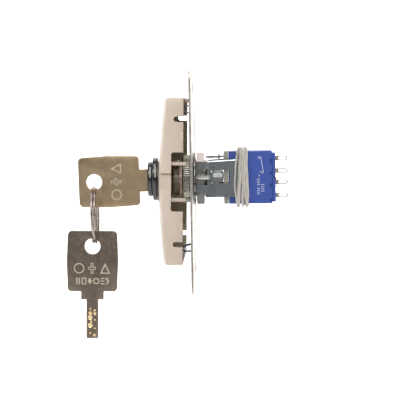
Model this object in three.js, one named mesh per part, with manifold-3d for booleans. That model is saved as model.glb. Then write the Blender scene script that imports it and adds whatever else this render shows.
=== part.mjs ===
// Selector key switch for a flush wall box: support plate, cream cover, cylinder lock,
// snap-action switch block on a clamp bracket, one key in the lock and a spare on a split ring.
// Millimetres. Origin: centre of the support plate's back face. +Y points into the wall,
// the key side faces -Y, +Z is up. The lock's axis is the Y axis.
import * as THREE from "three";
import { mergeVertices } from "three/addons/utils/BufferGeometryUtils.js";
import Module from "manifold-3d";

// ---------------------------------------------------------------- driving dimensions
const PLATE = 71; // support plate, square
const PLATE_T = 0.7;
const PLATE_R = 3;
const BOX_SCREW_PITCH = 60; // screws of a 60 mm wall box
const LOCK_HOLE_R = 6.15;

const COVER = 54; // cover, square
const COVER_LEAN = THREE.MathUtils.degToRad(1.3); // its lower edge stands further off the plate
const COVER_BACK = -2.4;
const COVER_CROWN = -11.15; // front of the crown at the middle
const COVER_WALL = 1.6;
const CROWN_R = 440; // twice the radius of the crown's curve
const COVER_EDGE_R = 0.7;

const BARREL_R = 6.0;
const BARREL_FRONT = -15.5;
const BARREL_BACK = 5.2;
const BORE_R = 4.15;
const PLUG_R = 3.95;
const KEYWAY_W = 2.0; // across X
const KEYWAY_H = 4.9; // along Z
const KEYWAY_END = -1.9;

const KEY_T = 1.8;
const BOW_HALF = 8.27;
const BOW_BULGE = 8.68;
const BOW_LEN = 20.45;
const HOLE_FROM_END = 5.24;
const HOLE_R = 2.65;
const SHOULDER_HALF = 3.8;
const SHOULDER_LEN = 2.75;
const BLADE_HALF = 2.0;
const BLADE_LEN = 13.15;
const KEY_HOLE_Y = -33.6;
const KEY_TILT = THREE.MathUtils.degToRad(1.2); // the bow sags in the loose keyway
const KEY_DROP = -0.73; // bow's hole, below the lock's axis

const RING_IN = 8.95;
const RING_OUT = 9.85;
const RING_HALF_W = 0.9; // two turns of 0.9 mm wire
const RING_Z = KEY_DROP - 11.0;
const SPARE_DROP = 1.2; // spare key's hole below the ring's lower wire
const SPARE_Y = KEY_HOLE_Y - 1.0;
const SPARE_LEAN = THREE.MathUtils.degToRad(1.2);

const BLOCK_X = 6.8;
const BLOCK_Z = 8.73;
const BLOCK_MID = 0.38;
const FRONT_PLATE_Y = [9.96, 11.55];
const HOUSING_Y = [11.6, 26.05];
const TERMINAL_BLOCK_Y = [26.1, 27.2];
const LUG_END = 31.45;
const BLOCK_RISE = 0.25; // the lugs sit a little above the lock's axis
const LUG_Z = [6.2, 2.0, -1.8, -6.2].map((z) => z + BLOCK_RISE);
const LUG_HALF = 0.8;
const LUG_T = 0.5;

const PLUNGER_Z = -3.3;
const PLUNGER_R = 1.2;
const PLUNGER_TIP = 7.55;
const CAM_LIFT = 1.5;
const CAM_FACE = 7.4;

// ---------------------------------------------------------------- helpers
const wasm = await Module();
wasm.setup();

const AXES = {
  xy: new THREE.Matrix4(),
  yz: new THREE.Matrix4().makeBasis(
    new THREE.Vector3(0, 1, 0),
    new THREE.Vector3(0, 0, 1),
    new THREE.Vector3(1, 0, 0),
  ),
  // (u, v) is (x, z); the extrusion runs along +Y
  xz: new THREE.Matrix4().makeBasis(
    new THREE.Vector3(1, 0, 0),
    new THREE.Vector3(0, 0, 1),
    new THREE.Vector3(0, -1, 0),
  ),
};

// closed geometry -> solid, facing out
function solid(geometry) {
  const g = geometry.clone();
  for (const name of Object.keys(g.attributes))
    if (name !== "position") g.deleteAttribute(name);
  const merged = mergeVertices(g, 1e-4);
  const idx = Array.from(merged.index.array);
  const tri = [];
  for (let i = 0; i < idx.length; i += 3) {
    const [a, b, c] = [idx[i], idx[i + 1], idx[i + 2]];
    if (a !== b && b !== c && a !== c) tri.push(a, b, c);
  }
  const p = merged.attributes.position.array;
  let vol = 0;
  for (let i = 0; i < tri.length; i += 3) {
    const [a, b, c] = [tri[i] * 3, tri[i + 1] * 3, tri[i + 2] * 3];
    vol +=
      p[a] * (p[b + 1] * p[c + 2] - p[b + 2] * p[c + 1]) -
      p[a + 1] * (p[b] * p[c + 2] - p[b + 2] * p[c]) +
      p[a + 2] * (p[b] * p[c + 1] - p[b + 1] * p[c]);
  }
  if (vol < 0)
    for (let i = 0; i < tri.length; i += 3)
      [tri[i + 1], tri[i + 2]] = [tri[i + 2], tri[i + 1]];
  return new wasm.Manifold(
    new wasm.Mesh({
      numProp: 3,
      vertProperties: new Float32Array(p),
      triVerts: new Uint32Array(tri),
    }),
  );
}

function geometryOf(manifold) {
  const m = manifold.getMesh();
  const n = m.numProp;
  const count = m.vertProperties.length / n;
  const pos = new Float32Array(count * 3);
  for (let i = 0; i < count; i++)
    for (let k = 0; k < 3; k++) pos[i * 3 + k] = m.vertProperties[i * n + k];
  const g = new THREE.BufferGeometry();
  g.setAttribute("position", new THREE.BufferAttribute(pos, 3));
  g.setIndex(Array.from(m.triVerts));
  g.computeVertexNormals();
  return g;
}

// polygon with rounded corners: points are [u, v, radius, steps]
function rounded(points) {
  const out = [];
  const n = points.length;
  for (let i = 0; i < n; i++) {
    const [u, v, r = 0, steps = 4] = points[i];
    if (!r) {
      out.push(new THREE.Vector2(u, v));
      continue;
    }
    const a = points[(i + n - 1) % n];
    const b = points[(i + 1) % n];
    const p = new THREE.Vector2(u, v);
    const da = new THREE.Vector2(a[0] - u, a[1] - v).normalize();
    const db = new THREE.Vector2(b[0] - u, b[1] - v).normalize();
    const angle = Math.acos(THREE.MathUtils.clamp(da.dot(db), -1, 1));
    const t = r / Math.tan(angle / 2);
    const mid = da.clone().add(db).normalize();
    const c = p.clone().addScaledVector(mid, r / Math.sin(angle / 2));
    const s = p.clone().addScaledVector(da, t).sub(c);
    const e = p.clone().addScaledVector(db, t).sub(c);
    let a0 = Math.atan2(s.y, s.x);
    let a1 = Math.atan2(e.y, e.x);
    let d = a1 - a0;
    while (d > Math.PI) d -= 2 * Math.PI;
    while (d < -Math.PI) d += 2 * Math.PI;
    for (let k = 0; k <= steps; k++) {
      const q = a0 + (d * k) / steps;
      out.push(new THREE.Vector2(c.x + r * Math.cos(q), c.y + r * Math.sin(q)));
    }
  }
  return out;
}

const rect = (u0, v0, u1, v1, r = 0, steps = 4) =>
  rounded([
    [u0, v0, r, steps],
    [u1, v0, r, steps],
    [u1, v1, r, steps],
    [u0, v1, r, steps],
  ]);

const circle = (u, v, r, n = 32, phase = 0) =>
  Array.from({ length: n }, (_, i) => {
    const a = phase + (2 * Math.PI * i) / n;
    return new THREE.Vector2(u + r * Math.cos(a), v + r * Math.sin(a));
  });

// slab of an outline in one plane, from a to b along the third axis
function slab(plane, outline, a, b, holes = []) {
  const shape = new THREE.Shape(outline);
  for (const h of holes) shape.holes.push(new THREE.Path(h));
  const g = new THREE.ExtrudeGeometry(shape, {
    depth: b - a,
    bevelEnabled: false,
    steps: 1,
    curveSegments: 1,
  });
  if (plane === "xz") g.translate(0, 0, -b);
  else g.translate(0, 0, a);
  g.applyMatrix4(AXES[plane]);
  return solid(g);
}

const box = (x0, y0, z0, x1, y1, z1) => {
  const g = new THREE.BoxGeometry(x1 - x0, y1 - y0, z1 - z0);
  g.translate((x0 + x1) / 2, (y0 + y1) / 2, (z0 + z1) / 2);
  return solid(g);
};

// turned about the Y axis: profile points are [radius, y]
const turned = (profile, segments = 32) =>
  solid(
    new THREE.LatheGeometry(
      [...profile, profile[0]].map(([r, y]) => new THREE.Vector2(r, y)),
      segments,
    ),
  );

// cylinder along an axis through (x, y, z), from -> to on that axis
function rod(axis, from, to, c, r0, r1 = r0, n = 16) {
  const g = new THREE.CylinderGeometry(r1, r0, to - from, n);
  g.translate(0, (from + to) / 2, 0);
  if (axis === "x") g.rotateZ(-Math.PI / 2);
  if (axis === "z") g.rotateX(Math.PI / 2);
  g.translate(c[0], c[1], c[2]);
  return solid(g);
}

const sum = (list) => list.reduce((a, b) => a.add(b));
const less = (a, list) => list.reduce((m, b) => m.subtract(b), a);

const root = new THREE.Group();
root.name = "selector_key_switch";
const groups = {};
for (const name of ["frame", "plug", "key", "ring", "spare", "plunger"]) {
  groups[name] = new THREE.Group();
  root.add(groups[name]);
}

const mat = (color, roughness, metalness) =>
  new THREE.MeshStandardMaterial({ color, roughness, metalness });
const M = {
  zinc: mat(0xd2d1ce, 0.35, 0.9),
  bracket: mat(0x9aa09d, 0.3, 0.95),
  spring: mat(0x4e5666, 0.35, 0.9),
  cream: mat(0xcfc0b0, 0.45, 0),
  chrome: mat(0x55565a, 0.12, 1),
  nut: mat(0x8b897a, 0.4, 0.9),
  brass: mat(0xb08d4e, 0.35, 0.9),
  key: mat(0x8f7c68, 0.35, 0.9),
  spareKey: mat(0x746a60, 0.35, 0.9),
  steel: mat(0xa9a7a3, 0.25, 1),
  grey: mat(0x868889, 0.5, 0),
  blue: mat(0x4a66b2, 0.45, 0),
  white: mat(0xe6e4dc, 0.5, 0),
  tin: mat(0xd6d6d4, 0.3, 0.9),
  rubber: mat(0xb8b2ab, 0.85, 0),
  red: mat(0xc23a2a, 0.4, 0),
  orange: mat(0xd98a34, 0.4, 0),
};

function put(group, name, manifold, material) {
  const mesh = new THREE.Mesh(
    manifold.isBufferGeometry ? manifold : geometryOf(manifold),
    material,
  );
  mesh.name = name;
  groups[group].add(mesh);
  return mesh;
}

// ---------------------------------------------------------------- support plate
{
  const h = PLATE / 2;
  const s = BOX_SCREW_PITCH / 2;
  const slots = [];
  for (const [u, v] of [
    [s, 0],
    [-s, 0],
    [0, s],
    [0, -s],
  ]) {
    const du = u ? 1.85 : 5.2;
    const dv = u ? 5.2 : 1.85;
    slots.push(rect(u - du, v - dv, u + du, v + dv, 1.84, 5));
  }
  for (const u of [-1, 1])
    for (const v of [-1, 1]) slots.push(circle(u * 29, v * 29, 1.65, 12));
  let plate = slab("xz", rect(-h, -h, h, h, PLATE_R, 6), -PLATE_T, 0, [
    circle(0, 0, LOCK_HOLE_R, 32),
    ...slots,
    // windows that the cover clips hook through
    rect(-3.6, 23.8, 3.6, 25.0),
    rect(-3.6, -25.0, 3.6, -23.8),
  ]);
  // the middle is coined back a little, so the plate bears on its outer frame
  plate = plate.subtract(slab("xz", rect(-22.5, -22.5, 22.5, 22.5, 3, 4), -0.12, 1));
  put("frame", "support_plate", plate, M.zinc);
}

// ---------------------------------------------------------------- cover clips
// bent spring tongues: a foot on the plate, a rise and a hook under the cover's edge
for (const [name, side, foot] of [
  ["upper_cover_clip", 1, 21.1],
  ["lower_cover_clip", -1, 19.6],
]) {
  const t = 0.45;
  const mid = [
    [-1.0, foot],
    [-1.0, 22.0],
    [-3.7, 22.5],
    [-4.3, 23.5],
    [-3.3, 24.3],
    [-0.6, 24.4],
    [-0.45, 24.4],
  ];
  const left = [];
  const right = [];
  mid.forEach(([y, z], i) => {
    const a = mid[Math.max(0, i - 1)];
    const b = mid[Math.min(mid.length - 1, i + 1)];
    const d = new THREE.Vector2(b[0] - a[0], b[1] - a[1]).normalize();
    left.push(new THREE.Vector2(y - (d.y * t) / 2, z + (d.x * t) / 2));
    right.push(new THREE.Vector2(y + (d.y * t) / 2, z - (d.x * t) / 2));
  });
  const outline = [...left, ...right.reverse()].map(
    (p) => new THREE.Vector2(p.x, p.y * side),
  );
  if (THREE.ShapeUtils.area(outline) < 0) outline.reverse();
  put("frame", name, slab("yz", outline, -3, 3), M.spring);
}

// ---------------------------------------------------------------- front cover
// a box whose front face is pulled into a shallow crown with rounded edges
function pillow(half, back, crown, edge, cuts) {
  const list = [-1, ...cuts.map((c) => -c).reverse(), 0, ...cuts, 1];
  const n = list.length - 1;
  const g = new THREE.BoxGeometry(2, 2, 2, n, 1, n);
  const p = g.attributes.position;
  for (let i = 0; i < p.count; i++) {
    const x = list[Math.round(((p.getX(i) + 1) / 2) * n)] * half;
    const z = list[Math.round(((p.getZ(i) + 1) / 2) * n)] * half;
    let y = back;
    if (p.getY(i) < 0) {
      const rx = Math.max(0, edge - (half - Math.abs(x)));
      const rz = Math.max(0, edge - (half - Math.abs(z)));
      const r = Math.min(edge, Math.hypot(rx, rz));
      y =
        crown +
        (x * x + z * z) / CROWN_R +
        (edge ? edge - Math.sqrt(edge * edge - r * r) : 0);
    }
    p.setXYZ(i, x, y, z);
  }
  return solid(g);
}
{
  const h = COVER / 2;
  const inner = h - COVER_WALL;
  const e = COVER_EDGE_R / h;
  let cover = pillow(h, COVER_BACK, COVER_CROWN, COVER_EDGE_R, [
    0.3,
    0.62,
    1 - e,
    1 - 0.6 * e,
    1 - 0.25 * e,
    1 - 0.06 * e,
  ]).intersect(
    slab("xz", rect(-h, -h, h, h, 1.6, 4), COVER_CROWN - 1, COVER_BACK + 0.001),
  );
  cover = cover.subtract(
    pillow(inner, COVER_BACK + 1, COVER_CROWN + 1.7, 0, [0.35, 0.7]),
  );
  const cuts = [];
  const adds = [];
  for (const s of [-1, 1]) {
    const x0 = s > 0 ? inner - 0.6 : -h - 1;
    const x1 = s > 0 ? h + 1 : -inner + 0.6;
    // side window, open to the rear edge, shorter on the left wall
    const wz = s > 0 ? 9.5 : 5.2;
    cuts.push(
      slab(
        "yz",
        rounded([
          [-6.3, -wz, 0.7, 3],
          [-1.4, -wz],
          [-1.4, wz],
          [-6.3, wz, 0.7, 3],
        ]),
        x0,
        x1,
      ),
    );
    for (const z of [-20.1, 20.1])
      cuts.push(
        slab(
          "yz",
          rounded([
            [-5.6, z - 0.85, 0.8, 3],
            [-1.4, z - 0.85],
            [-1.4, z + 0.85],
            [-5.6, z + 0.85, 0.8, 3],
          ]),
          x0,
          x1,
        ),
      );
    // shallow recess between the front edge and the window
    cuts.push(
      box(
        s > 0 ? h - 0.5 : -h - 1,
        COVER_CROWN - 1,
        -2.4,
        s > 0 ? h + 1 : -h + 0.5,
        -5.8,
        2.4,
      ),
    );
    // snap wedges beside the rear edge
    for (const z of [-14.5, 14.5])
      adds.push(
        slab(
          "xy",
          [
            [h - 0.3, -3.35],
            [h + 0.55, -2.75],
            [h + 0.55, -2.42],
            [h - 0.3, -2.42],
          ]
            .map(([x, y]) => new THREE.Vector2(x * s, y))
            .sort(() => 0),
          z - 1.55,
          z + 1.55,
        ),
      );
    // inner ribs that carry the window
    for (const z of [-5.85, 5.85])
      adds.push(
        box(
          s > 0 ? 22 : -inner - 0.3,
          -9.0,
          z - 0.55,
          s > 0 ? inner + 0.3 : -22,
          -1.5,
          z + 0.55,
        ),
      );
  }
  // tab on the upper wall, reaching towards the plate
  adds.push(box(-2.6, -5, inner + 0.1, 2.6, -1.2, h - 0.15));
  cover = less(cover, cuts);
  cover = cover.add(sum(adds));
  // leans about its upper rear edge
  cover = cover
    .translate([0, -COVER_BACK, -h])
    .rotate([-THREE.MathUtils.radToDeg(COVER_LEAN), 0, 0])
    .translate([0, COVER_BACK, h]);
  cover = cover.subtract(
    slab("xz", circle(0, 0, LOCK_HOLE_R, 32), COVER_CROWN - 3, COVER_BACK),
  );
  put("frame", "front_cover", cover, M.cream);
}

// ---------------------------------------------------------------- lock, fixed parts
{
  const pinY = [-12.0, -8.8, -5.6];
  let barrel = turned(
    [
      [BORE_R, BARREL_FRONT + 0.25],
      [BORE_R + 0.25, BARREL_FRONT],
      [5.55, BARREL_FRONT],
      [5.85, BARREL_FRONT + 0.3],
      [5.85, -14.1],
      [5.6, -13.95],
      [5.6, -13.7],
      [BARREL_R, -13.5],
      [BARREL_R, BARREL_BACK - 0.4],
      [BARREL_R - 0.4, BARREL_BACK],
      [BORE_R, BARREL_BACK],
    ],
    32,
  );
  barrel = less(
    barrel,
    pinY.map((y) => rod("x", 3.6, 5.7, [0, y, 0], 0.85, 0.85, 14)),
  );
  put("frame", "lock_barrel", barrel, M.chrome);
  put(
    "frame",
    "bezel_ring",
    turned(
      [
        [6.04, -13.8],
        [6.7, -13.8],
        [7.05, -13.65],
        [7.25, -13.3],
        [7.25, -12.65],
        [7.1, -12.35],
        [6.04, -12.35],
      ],
      40,
    ),
    M.chrome,
  );
  put(
    "frame",
    "spring_washer",
    turned(
      [
        [6.2, -12.28],
        [7.7, -12.28],
        [7.7, -11.9],
        [6.2, -11.9],
      ],
      40,
    ),
    M.steel,
  );
  const teeth = 40;
  const knurl = Array.from({ length: teeth * 2 }, (_, i) => {
    const a = (Math.PI * i) / teeth;
    const r = i % 2 ? 7.72 : 8.0;
    return new THREE.Vector2(r * Math.cos(a), r * Math.sin(a));
  });
  put(
    "frame",
    "knurled_nut",
    slab("xz", knurl, -3.9, -1.2, [circle(0, 0, 6.06, 32)]).add(
      slab("xz", circle(0, 0, 7.1, 32), -4.9, -3.85, [circle(0, 0, 6.06, 32)]),
    ),
    M.nut,
  );
  // driver pins, waiting in their chambers outside the shear line
  pinY.forEach((y, i) => {
    put(
      "frame",
      `driver_pin_${i + 1}`,
      rod("x", 4.2, 5.3, [0, y, 0], 0.7, 0.7, 8),
      M.brass,
    );
    put(
      "plug",
      `key_pin_${i + 1}`,
      rod("x", 1.6, 3.8, [0, y, 0], 0.7, 0.7, 8).add(
        rod("x", 1.05, 1.65, [0, y, 0], 0.25, 0.7, 8),
      ),
      M.brass,
    );
  });
  const star = Array.from({ length: 32 }, (_, i) => {
    const a = (Math.PI * i) / 16 + Math.PI / 32;
    const r = i % 2 ? 7.9 : 8.72;
    return new THREE.Vector2(r * Math.cos(a), r * Math.sin(a));
  });
  put(
    "frame",
    "lock_washer",
    slab("xz", star, 0.0, 0.6, [circle(0, 0, 6.2, 32)]),
    M.steel,
  );
  let nut = slab("xz", circle(0, 0, 8.62, 6, Math.PI / 2), 0.85, 3.5, [
    circle(0, 0, 6.06, 32),
  ]);
  nut = nut.intersect(
    turned(
      [
        [0, 0.85],
        [7.95, 0.85],
        [8.7, 1.25],
        [8.7, 3.1],
        [7.95, 3.5],
        [0, 3.5],
      ],
      30,
    ),
  );
  put("frame", "hex_nut", nut, M.steel);
}

// ---------------------------------------------------------------- lock, turning parts
{
  const pinY = [-12.0, -8.8, -5.6];
  let plug = turned(
    [
      [0, BARREL_FRONT + 0.1],
      [PLUG_R - 0.2, BARREL_FRONT + 0.1],
      [PLUG_R, BARREL_FRONT + 0.3],
      [PLUG_R, 5.25],
      [2.8, 5.25],
      [2.8, 5.85],
      [3.4, 5.85],
      [3.4, 5.97],
      [0, 5.97],
    ],
    32,
  );
  plug = less(plug, [
    slab(
      "yz",
      rect(BARREL_FRONT - 1, -KEYWAY_H / 2, KEYWAY_END, KEYWAY_H / 2),
      -KEYWAY_W / 2,
      KEYWAY_W / 2,
    ),
    ...pinY.map((y) => rod("x", 0.8, 4.5, [0, y, 0], 0.85, 0.85, 14)),
    rod("y", 2.5, 6.5, [0, 0, 0], 0.75, 0.75, 12),
  ]);
  put("plug", "lock_plug", plug, M.brass);

  // circlip in the plug's groove, behind the barrel
  const arc = [];
  const gap = 0.42;
  for (let i = 0; i <= 22; i++) {
    const a = Math.PI / 2 + gap + ((2 * Math.PI - 2 * gap) * i) / 22;
    arc.push(new THREE.Vector2(5.0 * Math.cos(a), 5.0 * Math.sin(a)));
  }
  for (let i = 22; i >= 0; i--) {
    const a = Math.PI / 2 + gap + ((2 * Math.PI - 2 * gap) * i) / 22;
    arc.push(new THREE.Vector2(2.9 * Math.cos(a), 2.9 * Math.sin(a)));
  }
  put("plug", "circlip", slab("xz", arc, 5.33, 5.77), M.spring);

  // face cam: a helical ramp that lifts 1.5 mm over a quarter turn
  const g = new THREE.LatheGeometry(
    [
      [1.2, 6.05],
      [4.7, 6.05],
      [4.7, CAM_FACE],
      [1.2, CAM_FACE],
      [1.2, 6.05],
    ].map(([r, y]) => new THREE.Vector2(r, y)),
    48,
  );
  const p = g.attributes.position;
  for (let i = 0; i < p.count; i++) {
    if (Math.abs(p.getY(i) - CAM_FACE) > 1e-6) continue;
    // angle from +Z towards +X, less the plunger's place at 180 degrees
    let b =
      THREE.MathUtils.radToDeg(Math.atan2(p.getX(i), p.getZ(i))) - 180;
    while (b <= -200) b += 360;
    while (b > 160) b -= 360;
    // b runs from +160 down to -200; the plunger sees 0 at rest and -90 at the end of the turn
    let lift;
    if (b > 90) lift = -0.25 + (1.5 + 0.43) * ((b - 90) / 70);
    else if (b > 15) lift = -0.25;
    else if (b > -105) lift = (-b / 90) * CAM_LIFT;
    else lift = 1.75;
    if (b <= -105) lift = 1.75 - (b < -160 ? 0.07 * ((-160 - b) / 40) : 0);
    p.setY(i, CAM_FACE + lift);
  }
  put("plug", "face_cam", solid(g), M.white);
  put(
    "plug",
    "cam_screw",
    sum([
      rod("y", 3.2, 6.9, [0, 0, 0], 0.6, 0.6, 12),
      rod("y", 6.4, 7.4, [0, 0, 0], 1.0, 1.0, 16),
    ]),
    M.steel,
  );
}

// ---------------------------------------------------------------- keys and ring
// u runs from the bow's hole towards the blade's tip, v across the blade
function keyOutline() {
  const end = -HOLE_FROM_END;
  const bow = end + BOW_LEN;
  const sh = bow + SHOULDER_LEN;
  const tip = sh + BLADE_LEN;
  const half = [
    [end, BOW_HALF, 1.5, 4],
    [(end + bow) / 2, BOW_BULGE, 30, 4],
    [bow, BOW_HALF, 1.2, 4],
    [bow, SHOULDER_HALF],
    [sh, SHOULDER_HALF, 0.35, 2],
    [sh, BLADE_HALF],
    [tip, BLADE_HALF, 0.45, 3],
  ];
  const other = half.map(([u, v, r, s]) => [u, -v, r, s]).reverse();
  return rounded([...other, ...half]);
}
// milled dimples on the blade: u from the hole, v, radius
const DIMPLES = [
  [22.6, -0.67, 0.5],
  [24.1, -0.67, 0.78],
  [26.6, -0.67, 0.78],
  [28.7, -0.67, 0.3],
  [22.4, 0.8, 0.5],
  [24.8, 0.8, 0.3],
  [29.6, 0.8, 0.5],
];
function keyBody() {
  let k = slab("xy", keyOutline(), -KEY_T / 2, KEY_T / 2, [
    circle(0, 0, HOLE_R, 28),
  ]);
  const cuts = [];
  for (const [u, v, r] of DIMPLES)
    for (const s of [1, -1])
      cuts.push(
        s > 0
          ? rod("z", KEY_T / 2 - 0.4, KEY_T / 2 + 0.1, [u, v, 0], r * 0.35, r, 8)
          : rod("z", -KEY_T / 2 - 0.1, -KEY_T / 2 + 0.4, [u, -v, 0], r, r * 0.35, 8),
      );
  k = less(k, cuts);
  return geometryOf(k);
}
{
  // (u, v, w) -> (y, z, x)
  const flat = new THREE.Matrix4().makeBasis(
    new THREE.Vector3(0, 1, 0),
    new THREE.Vector3(0, 0, 1),
    new THREE.Vector3(1, 0, 0),
  );
  const inLock = keyBody().applyMatrix4(flat);
  const key = put("key", "key_in_lock", inLock, M.key);
  key.position.set(0, KEY_HOLE_Y, KEY_DROP);
  key.rotation.x = KEY_TILT;

  // hangs with its blade down: (u, v, w) -> (-z, y, x)
  const hang = new THREE.Matrix4().makeBasis(
    new THREE.Vector3(0, 0, -1),
    new THREE.Vector3(0, 1, 0),
    new THREE.Vector3(1, 0, 0),
  );
  const ringBottom = RING_Z - (RING_IN + RING_OUT) / 2;
  const spare = put("spare", "spare_key", keyBody().applyMatrix4(hang), M.spareKey);
  spare.position.set(0, SPARE_Y, ringBottom - SPARE_DROP);
  spare.rotation.x = -SPARE_LEAN;

  const w = RING_HALF_W;
  const ring = turned(
    [
      [RING_IN + 0.2, -w],
      [RING_OUT - 0.2, -w],
      [RING_OUT, -w + 0.25],
      [RING_OUT, -0.2],
      [RING_OUT - 0.14, 0],
      [RING_OUT, 0.2],
      [RING_OUT, w - 0.25],
      [RING_OUT - 0.2, w],
      [RING_IN + 0.2, w],
      [RING_IN, w - 0.25],
      [RING_IN, -w + 0.25],
    ],
    32,
  );
  const r = put("ring", "split_ring", ring, M.steel);
  r.position.set(0, KEY_HOLE_Y, RING_Z);
}

// ---------------------------------------------------------------- clamp bracket and screws
{
  const t = 0.8;
  const y0 = 3.9;
  const xIn = 7.0;
  const parts = [];
  // base with ears
  parts.push(slab("xz", rect(-7.8, -6.4, 7.8, 6.4, 1.0, 3), y0, y0 + t));
  for (const s of [-1, 1]) {
    const a = (u, v) => (s > 0 ? [u, v] : [-v, -u]);
    const [e0, e1] = a(7.0, 9.0);
    const [g0, g1] = a(8.2, 9.0);
    const [m0, m1] = a(xIn, xIn + t);
    const [t0, t1] = a(xIn, 11.1);
    for (const [z0, z1] of [
      [3.3, 5.9],
      [-4.9, -1.9],
    ]) {
      parts.push(box(e0, y0, z0, e1, y0 + t, z1));
      parts.push(box(g0, 0.85, z0, g1, y0 + t, z1));
    }
    // arm with a window
    let arm = slab(
      "yz",
      rounded([
        [y0, -6.0],
        [15.4, -6.0, 1.2, 3],
        [15.4, 6.6, 1.2, 3],
        [y0, 6.0],
      ]),
      m0,
      m1,
    );
    arm = arm.subtract(
      slab("yz", rect(6.7, -1.5, 12.0, 2.9, 0.5, 2), m0 - 1, m1 + 1),
    );
    parts.push(arm);
    // threaded tab, folded outwards
    parts.push(
      slab(
        "xz",
        s > 0
          ? rounded([
              [t0, -1.5],
              [t1, -1.5, 0.9, 3],
              [t1, 2.9, 0.9, 3],
              [t0, 2.9],
            ])
          : rounded([
              [t0, -1.5, 0.9, 3],
              [t1, -1.5],
              [t1, 2.9],
              [t0, 2.9, 0.9, 3],
            ]),
        5.55,
        6.35,
      ),
    );
  }
  const bracket = less(sum(parts), [
    slab("xz", circle(0, 0, LOCK_HOLE_R, 32), y0 - 1, y0 + t + 1),
    rod("y", 5.2, 6.8, [9.4, 0, 0.7], 0.88, 0.88, 14),
    rod("y", 5.2, 6.8, [-9.4, 0, 0.7], 0.88, 0.88, 14),
  ]);
  put("frame", "clamp_bracket", bracket, M.bracket);
  for (const [name, s] of [
    ["clamp_screw_right", 1],
    ["clamp_screw_left", -1],
  ]) {
    const c = [9.4 * s, 0, 0.7];
    const screw = sum([
      rod("y", 0.3, 1.9, c, 0.15, 0.8, 14),
      rod("y", 1.8, 6.5, c, 0.8, 0.8, 14),
      rod("y", 6.4, 9.4, c, 1.7, 1.7, 6),
      rod("y", 9.39, 9.88, c, 1.7, 1.2, 6),
    ]);
    put("frame", name, screw, M.steel);
  }
}

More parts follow.
